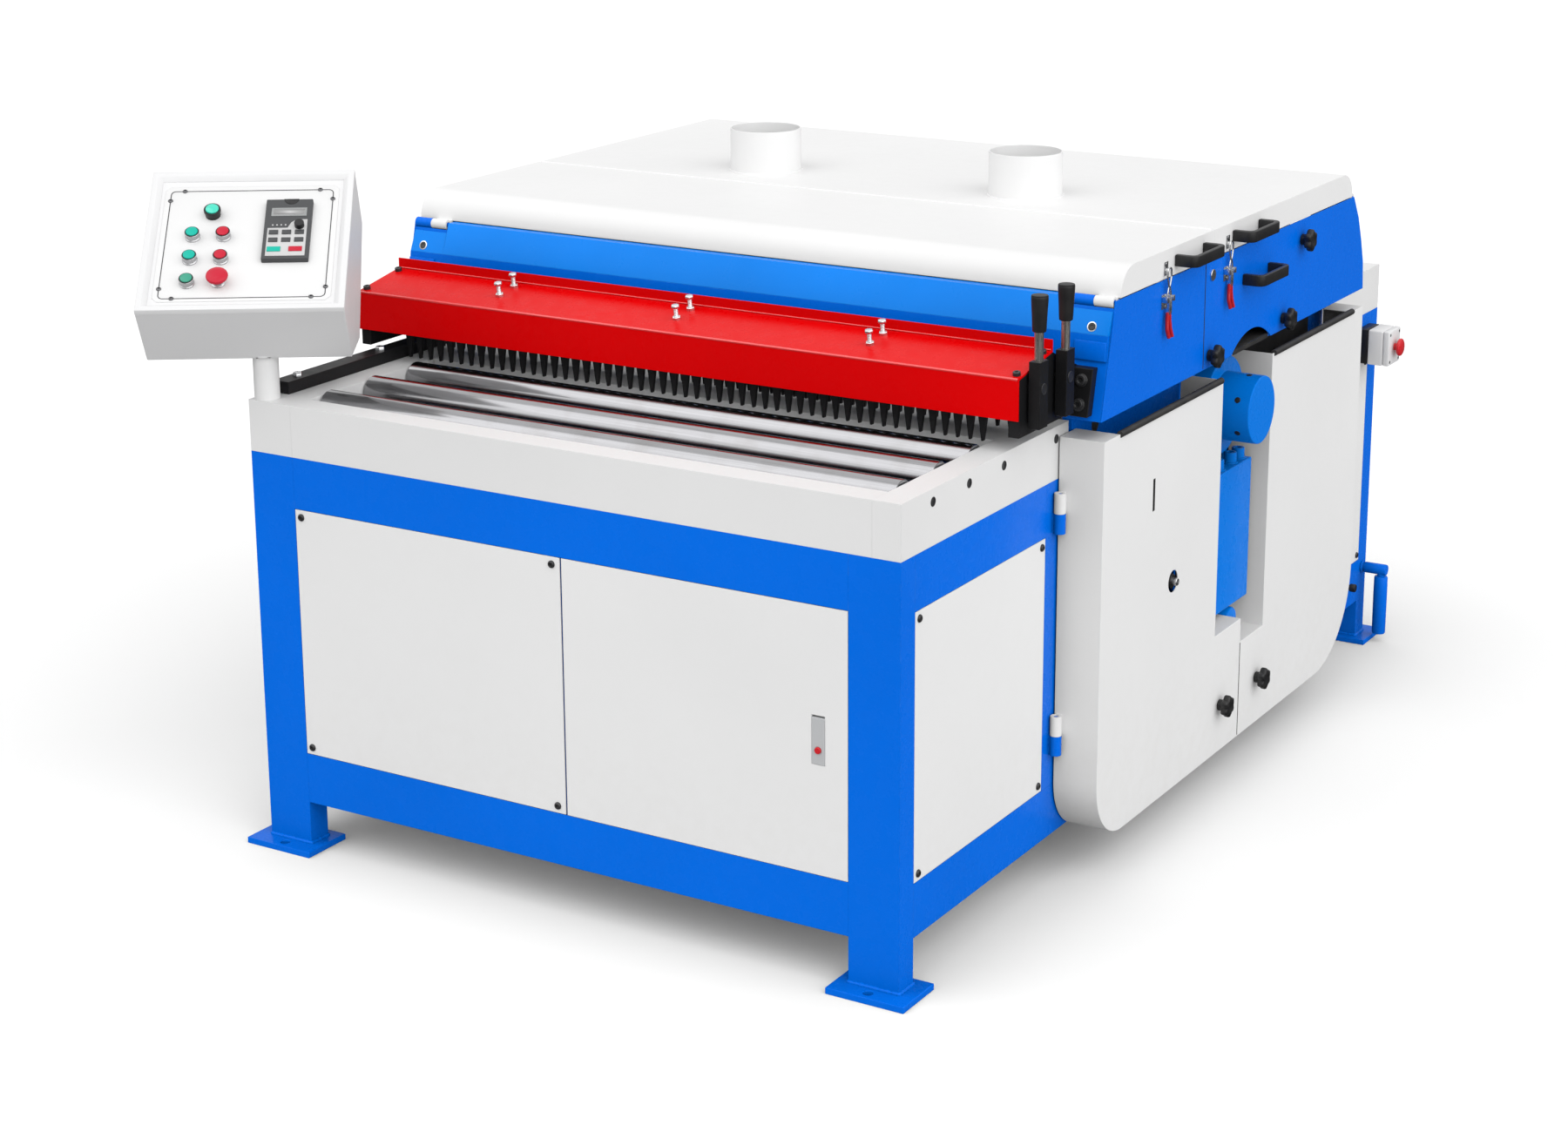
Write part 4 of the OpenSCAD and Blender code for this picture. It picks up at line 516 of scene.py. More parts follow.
def metal_group():
    """Shared effect of worked metal: drawn grain along one way, faint stains and handling marks."""
    tree = bpy.data.node_groups.new("worked_metal", "ShaderNodeTree")
    face = tree.interface
    face.new_socket("Color", in_out="INPUT", socket_type="NodeSocketColor")
    face.new_socket("Roughness", in_out="INPUT", socket_type="NodeSocketFloat")
    face.new_socket("Grain", in_out="INPUT", socket_type="NodeSocketVector")
    face.new_socket("Stain", in_out="INPUT", socket_type="NodeSocketFloat")
    face.new_socket("Color", in_out="OUTPUT", socket_type="NodeSocketColor")
    face.new_socket("Roughness", in_out="OUTPUT", socket_type="NodeSocketFloat")
    face.new_socket("Height", in_out="OUTPUT", socket_type="NodeSocketFloat")
    given = tree.nodes.new("NodeGroupInput").outputs
    coords = tree.nodes.new("ShaderNodeTexCoord").outputs["Object"]
    drawn = wire(tree, "ShaderNodeVectorMath", {0: coords, 1: given["Grain"]}, operation="MULTIPLY")
    lines = wire(tree, "ShaderNodeTexNoise", {"Vector": drawn.outputs[0], "Scale": 1.0, "Detail": 5.0,
                                              "Roughness": 0.7})
    stains = wire(tree, "ShaderNodeTexNoise", {"Vector": coords, "Scale": 16.0, "Detail": 5.0})
    tone = wire(tree, "ShaderNodeMapRange", {"Value": lines.outputs["Fac"], "From Min": 0.3, "From Max": 0.7,
                                             "To Min": 0.88, "To Max": 1.08})
    shade = wire(tree, "ShaderNodeHueSaturation", {"Color": given["Color"], "Value": tone.outputs["Result"]})
    mark = wire(tree, "ShaderNodeMapRange", {"Value": stains.outputs["Fac"], "From Min": 0.5,
                                             "From Max": 0.75})
    mark = wire(tree, "ShaderNodeMath", {0: mark.outputs["Result"], 1: given["Stain"]}, operation="MULTIPLY")
    dull = wire(tree, "ShaderNodeMix", {"Factor": mark.outputs[0], "A": shade.outputs["Color"],
                                        "B": (0.16, 0.14, 0.12, 1)}, data_type="RGBA")
    drift = wire(tree, "ShaderNodeMapRange", {"Value": lines.outputs["Fac"], "From Min": 0.3, "From Max": 0.7,
                                              "To Min": -0.05, "To Max": 0.08})
    rough = wire(tree, "ShaderNodeMath", {0: given["Roughness"], 1: drift.outputs["Result"]},
                 operation="ADD", use_clamp=True)
    wire(tree, "NodeGroupOutput", {"Color": dull.outputs["Result"], "Roughness": rough.outputs[0],
                                   "Height": lines.outputs["Fac"]})
    return tree


worked_metal = metal_group()


def metal(name, color, roughness, grain=(300, 300, 300), stain=0.25, depth=0.06):
    """Bare or plated metal finish."""
    material, tree = bare_material(name)
    skin = wire(tree, "ShaderNodeGroup", {"Color": (*color, 1), "Roughness": roughness, "Grain": grain,
                                          "Stain": stain}, node_tree=worked_metal)
    bump = wire(tree, "ShaderNodeBump", {"Strength": depth, "Distance": 0.3 * mm,
                                         "Height": skin.outputs["Height"]})
    body = wire(tree, "ShaderNodeBsdfPrincipled", {"Base Color": skin.outputs["Color"], "Metallic": 1.0,
                                                   "Roughness": skin.outputs["Roughness"],
                                                   "Normal": bump.outputs[0]})
    wire(tree, "ShaderNodeOutputMaterial", {"Surface": body.outputs[0]})
    return material


chrome = metal("roller_chrome", (0.33, 0.33, 0.34), 0.16, grain=(3, 420, 420), stain=0.2)
rollers = ("infeed_roller_1", "infeed_roller_2", "infeed_roller_3", "outfeed_roller")
wear_finish(chrome, *rollers)
soften(2.0, *rollers)
axle_z = 865
# Black discs on the right bar stand for the axle bores: their black is painted shade of the holes.
rim_bore_shade = ((8.6, 0.05), (8.6, 0.5), (7.6, 0.9), (6.8, 0.4), (0, 0.3))
axle_rows = (110, 240, 370, 576)
rim_spots = [(at(frame_half, y, axle_z), toward_right) for y in axle_rows]
spread("rim_hole_rings", rim_bore_shade, rim_spots, black_oxide, "frame")
upward = Vector((0, 0, 1))
bright_zinc = metal("bright_zinc", (0.66, 0.67, 0.68), 0.26)
rail_x = -676
rail_top = 912
rail_start = 64
rail_long = 496
hex_head = ((9.6, 0, 6), (9.6, 5.6, 6), (8.8, 6.8, 6), (7.4, 7.2), (0, 7.3))
rail_spots = [(at(rail_x, rail_start + share * rail_long, rail_top), upward) for share in (0.1, 0.6)]
spread("rail_bolts", hex_head, rail_spots, bright_zinc, "frame")

# Walls, spindle and feed
# Thick blue side plates, held by socket screws, carry the steel spindle with its gang of blades and the
# plain feed rollers. Little of them shows outside the hood.
plain_steel = metal("plain_steel", (0.52, 0.52, 0.53), 0.3, grain=(40, 300, 300))
wear_finish(blue_enamel, "side_walls")
wear_finish(plain_steel, "spindle_shaft", "saw_blades", "feed_roller_front", "feed_roller_rear",
            "press_roller_front", "press_roller_rear")
soften(1.5, "side_walls")
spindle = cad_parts["spindle_shaft"]
welded(spindle)
# A hair of play keeps the shaft's facets clear of the bores as it turns.
play = spindle.modifiers.new("play", "DISPLACE")
play.mid_level = 0.0
play.strength = -0.1 * mm
socket_head = ((12.0, 0), (12.0, 1.1), (9.8, 1.3), (9.8, 6.2), (9.0, 7.0), (6.4, 7.0), (5.8, 7.0, 6),
               (5.6, 3.2, 6), (0, 2.8))
wall_rows = (675, 960, 1580, 1855)
wall_levels = (245, 690)
wall_spots = [(at(-frame_half, y, z), toward_left) for y in wall_rows for z in wall_levels]
spread("wall_screws", socket_head, wall_spots, black_oxide, "frame")

# Hood
# Blue welded ends and sides under two white lid halves, which hinge at the front and rear. The front
# end is a folded skin whose crown is a lighter blue, a painted sheen; two rolled dust ports are welded
# into the rear lid.
wear_finish(blue_enamel, "hood_plates", "hood_sides", "side_door")
wear_finish(white_powder, "front_lid", "rear_lid")
soften(0.6, "hood_plates", "hood_sides", "side_door", "front_lid", "rear_lid")
machine = Matrix.Translation(at(0, 0, 0))
hood_face = 788
lid_top = 1174
hood_foot_y = 577
hood_foot = 906
hood_tall = 212
hood_lean_back = 51
hood_slope = hood_lean_back / hood_tall


def hood_plate_y(z):
    """Depth of the leaning front end at a height."""
    return hood_foot_y + hood_slope * (z - hood_foot)


def arc(cx, cy, r, start, end, count=6):
    """Points of an arc, in degrees."""
    angles = [math.radians(start + (end - start) * k / count) for k in range(count + 1)]
    return [(cx + r * math.cos(a), cy + r * math.sin(a)) for a in angles]


def extruded(bm, place, outline, low, high):
    """Outline in the local XY plane of place drawn out along its Z, in millimetres."""
    rings = [[bm.verts.new(place @ (Vector((x, y, h)) * mm)) for x, y in outline] for h in (low, high)]
    count = len(outline)
    for k in range(count):
        n = (k + 1) % count
        bm.faces.new((rings[0][k], rings[0][n], rings[1][n], rings[1][k]))
    bm.faces.new(rings[0][::-1])
    bm.faces.new(rings[1])


def rounded(bm, width, angle=40, segments=2):
    """Rounds the sharp edges of a worked shape."""
    bmesh.ops.recalc_face_normals(bm, faces=bm.faces)
    limit = math.radians(angle)
    edges = [e for e in bm.edges if len(e.link_faces) == 2 and e.calc_face_angle() > limit]
    bmesh.ops.bevel(bm, geom=edges, offset=width * mm, segments=segments, profile=0.5, affect="EDGES",
                    clamp_overlap=True)


across = machine @ Matrix(((0, 0, 1, 0), (1, 0, 0, 0), (0, 1, 0, 0), (0, 0, 0, 1)))
skin_half = 784
skin_low = 1012
skin_bend = 1052
skin_high = 1099
bend_out = 9
crown_foot = skin_bend + 6
bend_y = hood_plate_y(skin_bend)
skin = [(hood_plate_y(skin_low) + 1, skin_low), (hood_plate_y(skin_low) - 3, skin_low),
        (bend_y - bend_out - 1, skin_bend - 8), (bend_y - bend_out + 1, crown_foot), (bend_y + 1, crown_foot)]
bm = bmesh.new()
extruded(bm, across, skin, -skin_half, skin_half)
settle(made("hood_front_skin", bm, blue_enamel, 40), "frame")
knuckle_in = 702
ledge_top = 1118.6
ledge_low = ledge_top - 1.5
ledge_back = 662
ledge_y = hood_plate_y(ledge_top)
crown_base = [(bend_y + 1, crown_foot), (bend_y - bend_out + 1, crown_foot)]
crown = crown_base + [(hood_plate_y(skin_high) - 1, skin_high), (hood_plate_y(skin_high) + 1, skin_high)]
ledge = crown_base + [(ledge_y - 1, ledge_top - 1.2), (ledge_y, ledge_top), (ledge_back, ledge_top),
                      (ledge_back, ledge_low), (ledge_y + 1, ledge_low)]
# The crown's lighter, cloudier blue is a painted sheen: a lit copy of the blue enamel where the tilted plate
# catches light from above.
painted_sheen_blue = sprayed("painted_sheen_blue", (0.0, 0.225, 0.84), 0.30, peel_depth=0.05, tone=0.10, dust=0.0,
                     edge_color=chipped_blue, shine=0.12, bounce=blue_bounce)
bm = bmesh.new()
extruded(bm, across, crown, -skin_half, -knuckle_in)
extruded(bm, across, ledge, -knuckle_in, knuckle_in)
extruded(bm, across, crown, knuckle_in, skin_half)
settle(made("hood_front_crown", bm, painted_sheen_blue, 30), "frame")
lap_wide = 62
lap_high = 1047
lap_out = skin_half - 1
lap_y = hood_plate_y(lap_high) - bend_out
lap = [(hood_plate_y(skin_low) + 1, skin_low), (hood_plate_y(skin_low) - 6, skin_low + 0.5),
       (lap_y - 3.5, lap_high), (lap_y + 2, lap_high)]
bm = bmesh.new()
for low in (-lap_out, lap_out - lap_wide):
    extruded(bm, across, lap, low, low + lap_wide)
rounded(bm, 0.8)
settle(made("hood_lap_plates", bm, blue_enamel), "frame")
skin_tilt = math.atan2(hood_plate_y(skin_high) - bend_y + bend_out, skin_high - skin_bend)
skin_normal = Vector((0, -math.cos(skin_tilt), math.sin(skin_tilt)))
skin_screw_z = 1071
skin_screw_y = hood_plate_y(skin_high) - 1 - (skin_high - skin_screw_z) * math.tan(skin_tilt)
skin_screws_x = (-755, 750)
skin_spots = [(at(x, skin_screw_y, skin_screw_z), skin_normal) for x in skin_screws_x]
socket_seat = ((9.5, 0), (9.3, 1.2), (7.2, 1.6), (6.8, 0.8), (6.8, 0.5))
socket_well = ((6.8, 0.4), (6.6, 1.2), (4.2, 1.4), (3.8, 1.4, 6), (3.6, 0.6, 6), (0, 0.5))
spread("hood_screw_seats", socket_seat, skin_spots, bright_zinc, "frame")
spread("hood_screws", socket_well, skin_spots, black_oxide, "frame")
disc = ((11.5, 0), (11.5, 2.2), (10.6, 3.0), (0, 3.2))
disc_y = 1061.5
disc_z = 1087
disc_spots = [(at(hood_face, disc_y, disc_z), toward_right)]
spread("side_door_disc", disc, disc_spots, bright_zinc, "side_door")
hem_half = 782
hem_y = 1064
hem_r = 2.2
hem = [at(-hem_half, hem_y, lid_top), at(hem_half, hem_y, lid_top)]
rod("front_lid_hem", [hem], hem_r, white_powder, "front_lid", step=20)
port_x = 308
port_y = 1222
port_ring_r = 76
port_bead = 3.0
port_steps = 48
port_weld = []
for x in (-port_x, port_x):
    ring = arc(x, port_y, port_ring_r, 0, 360, port_steps)
    port_weld.append([at(*spot, lid_top) for spot in ring[:-1]])
rod("port_welds", port_weld, port_bead, white_powder, "rear_lid", ripple=0.5, step=3.0,
    closed=True)

# Pull handles
# Moulded black plastic bridge handles, screwed on from behind: one on each lid half and one on the
# side door.
black_plastic = sprayed("black_plastic", (0.011, 0.011, 0.012), 0.42, peel=700.0, peel_depth=0.1, tone=0.1,
                        dust=0.08, edge_share=0.15, edge_color=(0.08, 0.08, 0.08), shine=0.35)


def pull_handle(name, node, body, start, z):
    """Bridge handle standing on the hood's side."""
    long, reach, bar, half_tall = 142, 45, 10, 11
    corner, inner_corner, leg = 16, 8, 13
    inside = reach - bar - inner_corner
    outer = arc(reach - corner, corner, corner, -90, 0) + arc(reach - corner, long - corner, corner, 0, 90)
    inner = (arc(inside, long - leg - inner_corner, inner_corner, 90, 0)
             + arc(inside, leg + inner_corner, inner_corner, 0, -90))
    outline = [(0, 0)] + outer + [(0, long), (0, long - leg)] + inner + [(0, leg)]
    bm = bmesh.new()
    extruded(bm, Matrix.Translation(at(hood_face, start, z)), outline, -half_tall, half_tall)
    rounded(bm, 2.2)
    piece = settle(made(name, bm, black_plastic), body)
    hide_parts(node)


lid_handle_z = 1147
pull_handle("front_lid_pull", "front_lid_handle", "front_lid", 880, lid_handle_z)
pull_handle("rear_lid_pull", "rear_lid_handle", "rear_lid", 1153, lid_handle_z)
pull_handle("side_door_pull_grip", "side_door_handle", "side_door", 1211, 1050)

# Star knobs
# Moulded black knobs with six rounded lobes on steel screws.
# Three hold the side door and one holds each belt cover.
turn_right = Matrix.Rotation(math.radians(90), 4, "Y")


def sideways(x, y, z):
    """Frame at a place on the machine, with its Z toward the right."""
    return Matrix.Translation(at(x, y, z)) @ turn_right


star_lobes = 6
star_rings = ((9.0, 0.4, 0), (11.5, 1.0, 0), (11.5, 9, 0), (15.0, 11, 0.10), (21.5, 12.6, 0.16),
              (23.0, 15, 0.17), (23.0, 22.5, 0.17), (21.6, 25.0, 0.16), (17.5, 26.4, 0.12), (10.5, 27, 0),
              (9.0, 26, 0), (0, 25.4, 0))


def star_knob(name, node, x, y, z):
    """Knob that stands on the face x; its rings are (radius, height, depth of the hollows)."""
    place = sideways(x, y, z)
    steps = 72
    bm = bmesh.new()
    rings = []
    for r, h, hollow in star_rings:
        ring = []
        for k in range(steps if r else 1):
            angle = 2 * math.pi * k / steps
            wave = (1 - math.cos(star_lobes * angle)) / 2
            notch = 1 - abs(math.cos(star_lobes / 2 * angle))
            reach = r * (1 - hollow * wave - hollow * 0.4 * notch)
            spot = Vector((reach * math.cos(angle), reach * math.sin(angle), h))
            ring.append(bm.verts.new(place @ (spot * mm)))
        rings.append(ring)
    for a, b in zip(rings, rings[1:]):
        for k in range(steps):
            n = (k + 1) % steps
            bm.faces.new(list(dict.fromkeys((a[k], a[n], b[n % len(b)], b[k % len(b)]))))
    bm.faces.new(rings[0][::-1])
    piece = settle(made(name, bm, black_plastic, 50), node)
    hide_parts(node)


cover_face = 792
cover_knob_z = 188.98
low_knob_z = 931
star_knob("side_door_star_1", "side_door_knob_1", hood_face, 1055, low_knob_z)
star_knob("side_door_star_2", "side_door_knob_2", hood_face, 1429, low_knob_z)
star_knob("side_door_star_3", "side_door_knob_3", hood_face, 1521, 1077)
star_knob("front_cover_star", "front_cover_knob", cover_face, 1155, cover_knob_z)
star_knob("rear_cover_star", "rear_cover_knob", cover_face, 1346, cover_knob_z)

# Toggle latches
# Zinc-plated over-centre clips: a riveted base, a wire bail that hooks on the lid's catch
# and a forked lever with red dipped grips.
red_dip = sprayed("red_dip", (0.50, 0.008, 0.015), 0.28, peel=240.0, peel_depth=0.12, dust=0.0, edge_share=0.0)
pin_out = 8
pin_z = 1083
about_y = Matrix.Rotation(math.radians(-90), 4, "X")
upright = Matrix.Rotation(math.radians(90), 4, "X")
latch_pin = ((0, 0), (3.6, 0.3), (3.6, 1.4), (2.4, 1.4), (2.4, 33.8), (3.6, 33.8), (3.6, 34.9), (0, 35.2))
base_rivet = ((3.2, 0), (3.0, 0.8), (1.8, 1.5), (0, 1.7))
base_rivet_heights = (-15, 5.5)
catch_rivet = ((2.6, 0), (2.3, 0.8), (0, 1.3))
catch_rivet_heights = (47, 65)
fork_side = ((-4.5, 0), (4.5, 0), (4.5, -30), (2.5, -40), (-2.5, -40), (-4.5, -30))
bail_half = ((8.2, 0), (7, 11), (2.6, 23), (9, 41), (8, 57.8))
# Each grip runs down from the fork: out from the pin, half the gap, drift to the rear, height.
grip_run = ((0, 3.8, 0, -25), (0, 5, 0, -41), (1, 7, 0, -57), (3, 7, 5, -73))


def box(bm, place, low, high):
    """Block between two corners, in millimetres."""
    (x0, y0, z0), (x1, y1, z1) = low, high
    extruded(bm, place, ((x0, y0), (x1, y0), (x1, y1), (x0, y1)), z0, z1)


def toggle(side, y, base_body, lid_body):
    """One latch, measured from the hood's face at its pin: base and catch stay, bail and lever swing."""
    place = Matrix.Translation(at(hood_face, y, pin_z))

    def spot(out, along, up):
        """Point of the latch on the machine."""
        return place @ (Vector((out, along, up)) * mm)

    base_half, cheek, base_skin, catch_skin = 16.3, 5.5, 1.6, 1.4
    bm = bmesh.new()
    for low in (-base_half, base_half - cheek):
        box(bm, place, (0, low, -5.4), (13.6, low + cheek, 5.6))
    box(bm, place, (0, -base_half, -19), (base_skin, base_half, 9))
    rounded(bm, 0.8)
    for up in base_rivet_heights:
        turned(bm, Matrix.Translation(spot(base_skin, 0, up)) @ turn_right, base_rivet, 16)
    turned(bm, Matrix.Translation(spot(pin_out, -17.6, 0)) @ about_y, latch_pin, 16)
    settle(made(side + "_latch_base", bm, bright_zinc), base_body)
    bm = bmesh.new()
    box(bm, place, (0, -8, 43), (catch_skin, 8, 69))
    box(bm, place, (catch_skin - 0.2, -4.6, 52), (6.0, 4.6, 55.8))
    rounded(bm, 0.5)
    for up in catch_rivet_heights:
        turned(bm, Matrix.Translation(spot(catch_skin, 0, up)) @ turn_right, catch_rivet, 16)
    settle(made(side + "_latch_catch", bm, bright_zinc), lid_body)
    loop = [spot(pin_out, -half, up) for half, up in bail_half]
    loop += [spot(pin_out, half, up) for half, up in reversed(bail_half)]
    bail = rod(side + "_latch_wire", [loop], 1.9, bright_zinc, side + "_latch_bail", bend=6,
               step=1.5)
    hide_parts(side + "_latch_bail")
    fork_in, fork_out, fork_up = 2.2, 5.4, 5
    bm = bmesh.new()
    for low in (-fork_out, fork_in):
        flat = Matrix.Translation(spot(pin_out, low, fork_up)) @ upright
        extruded(bm, flat, fork_side, fork_in - fork_out, 0)
    rounded(bm, 0.6)
    lever = settle(made(side + "_latch_fork", bm, bright_zinc), side + "_latch_lever")
    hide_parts(side + "_latch_lever")
    prongs = [[spot(pin_out + out, way * half + drift, up) for out, half, drift, up in grip_run]
              for way in (-1, 1)]
    rod(side + "_latch_grip", prongs, 3.7, red_dip, side + "_latch_lever", bend=9, step=1.5)


toggle("front", 841, "frame", "front_lid")
toggle("rear", 1131, "side_door", "rear_lid")

# Finger guard and stop fingers
# A bent red sheet on two black arms covers two rows of blackened steel fingers that let timber in
# but not back. Each row lifts with a lever: a steel rod screwed into a block, with a plastic grip.
red_enamel = sprayed("red_enamel", (0.72, 0.0, 0.001), 0.28, peel=140.0, peel_depth=0.04, dust=0.0, edge_share=0.3,
                     edge_color=(0.62, 0.06, 0.06), shine=0.06, bounce=0.08)
wear_finish(red_enamel, "finger_guard")
wear_finish(black_paint, "guard_arms", "finger_row_front", "finger_row_rear")
soften(1.2, "guard_arms")
soften(0.7, "finger_row_front", "finger_row_rear")
# The folds are a lighter red than the guard, with pink at their edges: a painted highlight along the guard's
# bends.
red_painted_highlight = sprayed("red_painted_highlight", (0.80, 0.03, 0.03), 0.2, peel=140.0, peel_depth=0.03, dust=0.0, edge_share=0.3,
                    edge_color=(0.8, 0.3, 0.3), shine=1.0)
guard_run = 726
for name, y, z, r in (("guard_front_fold", 366.4, 1022.6, 2.6), ("guard_rear_fold", 494.6, 1049.4, 1.5)):
    fold = [at(-guard_run, y, z), at(guard_run, y, z)]
    rod(name, [fold], r, red_painted_highlight, "frame", step=20)
roof_front = 365
roof_z = 1024
roof_deep = 130
roof_rise = 24
roof_tilt = math.atan2(roof_rise, roof_deep)
roof_normal = Vector((0, -math.sin(roof_tilt), math.cos(roof_tilt)))


def on_roof(x, y):
    """Spot on the guard's sloping roof, facing out of it."""
    return at(x, y, roof_z + (y - roof_front) * roof_rise / roof_deep), roof_normal


cap_head = ((7.0, 0), (7.0, 6.2), (6.4, 7.0), (3.9, 7.0), (3.5, 7.0, 6), (3.4, 3.2, 6), (0, 2.8))
cap_x = 717
cap_rows = (380, 480)
guard_spots = [on_roof(x, y) for x in (-cap_x, cap_x) for y in cap_rows]
spread("guard_cap_screws", cap_head, guard_spots, black_oxide, "frame")
hood_lean = math.atan(hood_slope)
lug_normal = Vector((0, -math.cos(hood_lean), math.sin(hood_lean)))
lug_x = 748
lug_z = 916
lug_tall = 85
lug_thick = 20
lug_spots = []
for side in (-1, 1):
    for z in (lug_z + lug_tall / 4, lug_z + lug_tall * 3 / 4):
        lug_spots.append((at(side * lug_x, hood_plate_y(z) - lug_thick, z), lug_normal))
spread("lug_screws", socket_head, lug_spots, black_oxide, "frame")
thread = [(4.4 if k % 2 else 3.8, 7.0 + 1.2 * k) for k in range(13)]
set_bolt = ((8.4, 0, 6), (8.4, 5.2, 6), (7.6, 6.0, 6), (4.4, 6.1), *thread, (4.2, 22.6), (7.8, 23.0, 6),
            (8.2, 23.6, 6), (8.2, 28.0, 6), (7.4, 29.0, 6), (6.2, 29.3), (0, 29.4))
set_bolts_x = (-425, -15, 400)
set_shares = (0.46, 0.83)
set_spots = [on_roof(x, roof_front + share * roof_deep) for x in set_bolts_x for share in set_shares]
set_bolts = spread("guard_set_bolts", set_bolt, set_spots, bright_zinc, "frame")
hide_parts("hex_bolts")
rod_steel = metal("rod_steel", (0.60, 0.58, 0.54), 0.28, grain=(500, 500, 30))
lever_x = 744
lever_face = 755
shaft_z = 1000
lever_rod = ((8.2, 1049.5), (8.2, 1060), (8.2, 1100), (8.2, 1103))
lever_grip = ((8.0, 1101.5), (11.4, 1101.5), (12.3, 1102.6), (12.8, 1110), (13.6, 1130), (14.8, 1150),
              (15.3, 1160), (15.2, 1164), (14.0, 1166.4), (10.0, 1167.2), (0, 1167.4))
lever_pivot = ((0, 0.5), (8.2, 0.5), (8.6, 0.9), (10.2, 0.9), (10.6, 0.1), (10.6, 0))


def turned_on(name, place, profile, material, body):
    """One turned solid that takes its place on a body of the machine."""
    return settle(turned_piece(name, place, profile, material), body)


for row, y in (("front", 410), ("rear", 515)):
    body = "finger_row_" + row
    place = Matrix.Translation(at(lever_x, y, 0))
    turned_on(row + "_lever_rod", place, lever_rod, rod_steel, body)
    turned_on(row + "_lever_grip", place, lever_grip, black_plastic, body)
    pivot_place = sideways(lever_face, y, shaft_z)
    turned_on(row + "_lever_pivot", pivot_place, lever_pivot, black_oxide, body)

# Belt covers and bearing
# Two white folded covers hinge over the belts, with black rubber edging along their upper rims.
# Between them stand the blue cast bearing, whose set-screw holes are black discs of painted shade, its
# lifting block with socket bolts and a screw boss. Black sheets in the gaps to the hood and a black line
# in the covers' seam are painted shade.
wear_finish(white_powder, "front_belt_cover", "rear_belt_cover")
soften(0.5, "front_belt_cover", "rear_belt_cover")
bearing_blue = sprayed("bearing_blue", (0.0, 0.195, 0.79), 0.28, peel_depth=0.05, tone=0.06, dust=0.0,
                       edge_color=chipped_blue, shine=0.09, bounce=blue_bounce)
wear_finish(bearing_blue, "bearing_housing")
soften(2.5, "bearing_housing")
# This black serves the real rubber edging and seals, and also the sheets and seam line below that are painted
# shade.
rubber_and_shade = sprayed("edging_rubber_and_shade", (0.014, 0.014, 0.015), 0.62, peel=500.0, peel_depth=0.25, dust=0.4,
                 edge_share=0.0)
spindle_y = 1270
spindle_z = 778
hole_r = 68.6
hole_x = 788
hole_count = 6
first_hole = 26
cap_holes = []
for k in range(hole_count):
    angle = math.radians(first_hole + 360 / hole_count * k)
    out = Vector((0, -math.cos(angle), math.sin(angle)))
    cap_holes.append((at(hole_x, spindle_y, spindle_z) + out * hole_r * mm, out))
# Flat black discs round the bearing cap stand for its set-screw holes: their black is painted shade of the
# hollows.
set_hole_shade = ((6.2, 0), (6.0, 0.7), (5.2, 0.9), (0, 0.9))
spread("bearing_set_screws", set_hole_shade, cap_holes, black_plastic, "frame")
block_top = 652
block_bolt_x = 738
block_bolt = ((17, 0), (17, 2.2), (13.2, 2.4), (13.2, 20.5), (12.0, 22.0), (8.2, 22.0), (7.6, 22.0, 6),
              (7.2, 12.0, 6), (0, 11.0))
block_bolt_rows = (spindle_y - 73, spindle_y - 32, spindle_y + 32, spindle_y + 73)
block_spots = [(at(block_bolt_x, y, block_top), upward) for y in block_bolt_rows]
spread("block_bolts", block_bolt, block_spots, bearing_blue, "frame")
boss = ((27, 0), (27, 53), (25, 56), (11, 56), (10, 55), (0, 55))
boss_y = 1292
boss_z = 322
boss_place = sideways(frame_half + 0.4, boss_y, boss_z)
turned_on("screw_boss", boss_place, boss, bearing_blue, "frame")
left_face = -735
flange_bolt_r = 84
flange_ring = arc(spindle_y, spindle_z, flange_bolt_r, 45, 315, 3)
flange_spots = [(at(left_face, *spot), toward_left) for spot in flange_ring]
spread("left_bearing_bolts", hex_head, flange_spots, bright_zinc, "frame")
stud_y = 908
stud_z = 518
stud_place = sideways(cover_face, stud_y, stud_z)
stud_sleeve = ((14.3, -60), (14.3, -1.6), (13.4, -0.6), (0, -0.6))
turned_on("stud_sleeve", stud_place, stud_sleeve, black_plastic, "frame")
stud_end = ((7.6, -0.8), (7.6, 8.6), (6.6, 9.8), (2.6, 9.8), (2.2, 8.0), (0, 7.8))
turned_on("stud_end", stud_place, stud_end, plain_steel, "frame")
# Black sheets against the side wall, along the floor of the hood's side and in the door's arch are painted
# shade of the hollow behind the hood.
sheet_in = 700.4
sheet_out = 702.4
sheet_head = 1056
front_sheet = ((sheet_in, 1100, 881), (sheet_out, 1376, sheet_head))
rear_sheet = ((sheet_in, 1376.4, 780), (sheet_out, 1800, sheet_head))
sole_shade_sheet = ((702.6, 1108, 912.3), (784, 1436, 913.5))
arch_shade_strip = ((785.1, 1181, 904.5), (786.6, 1359, 912.8))
bm = bmesh.new()
for low, high in (front_sheet, rear_sheet, sole_shade_sheet, arch_shade_strip):
    box(bm, machine, low, high)
settle(made("dust_curtain", bm, rubber_and_shade), "frame")
slot_low = (789.6, 803.5, 683.5)
slot_high = (791.7, 812.5, 745.5)
bm = bmesh.new()
box(bm, machine, slot_low, slot_high)
settle(made("slot_insert", bm, black_plastic), "front_belt_cover")
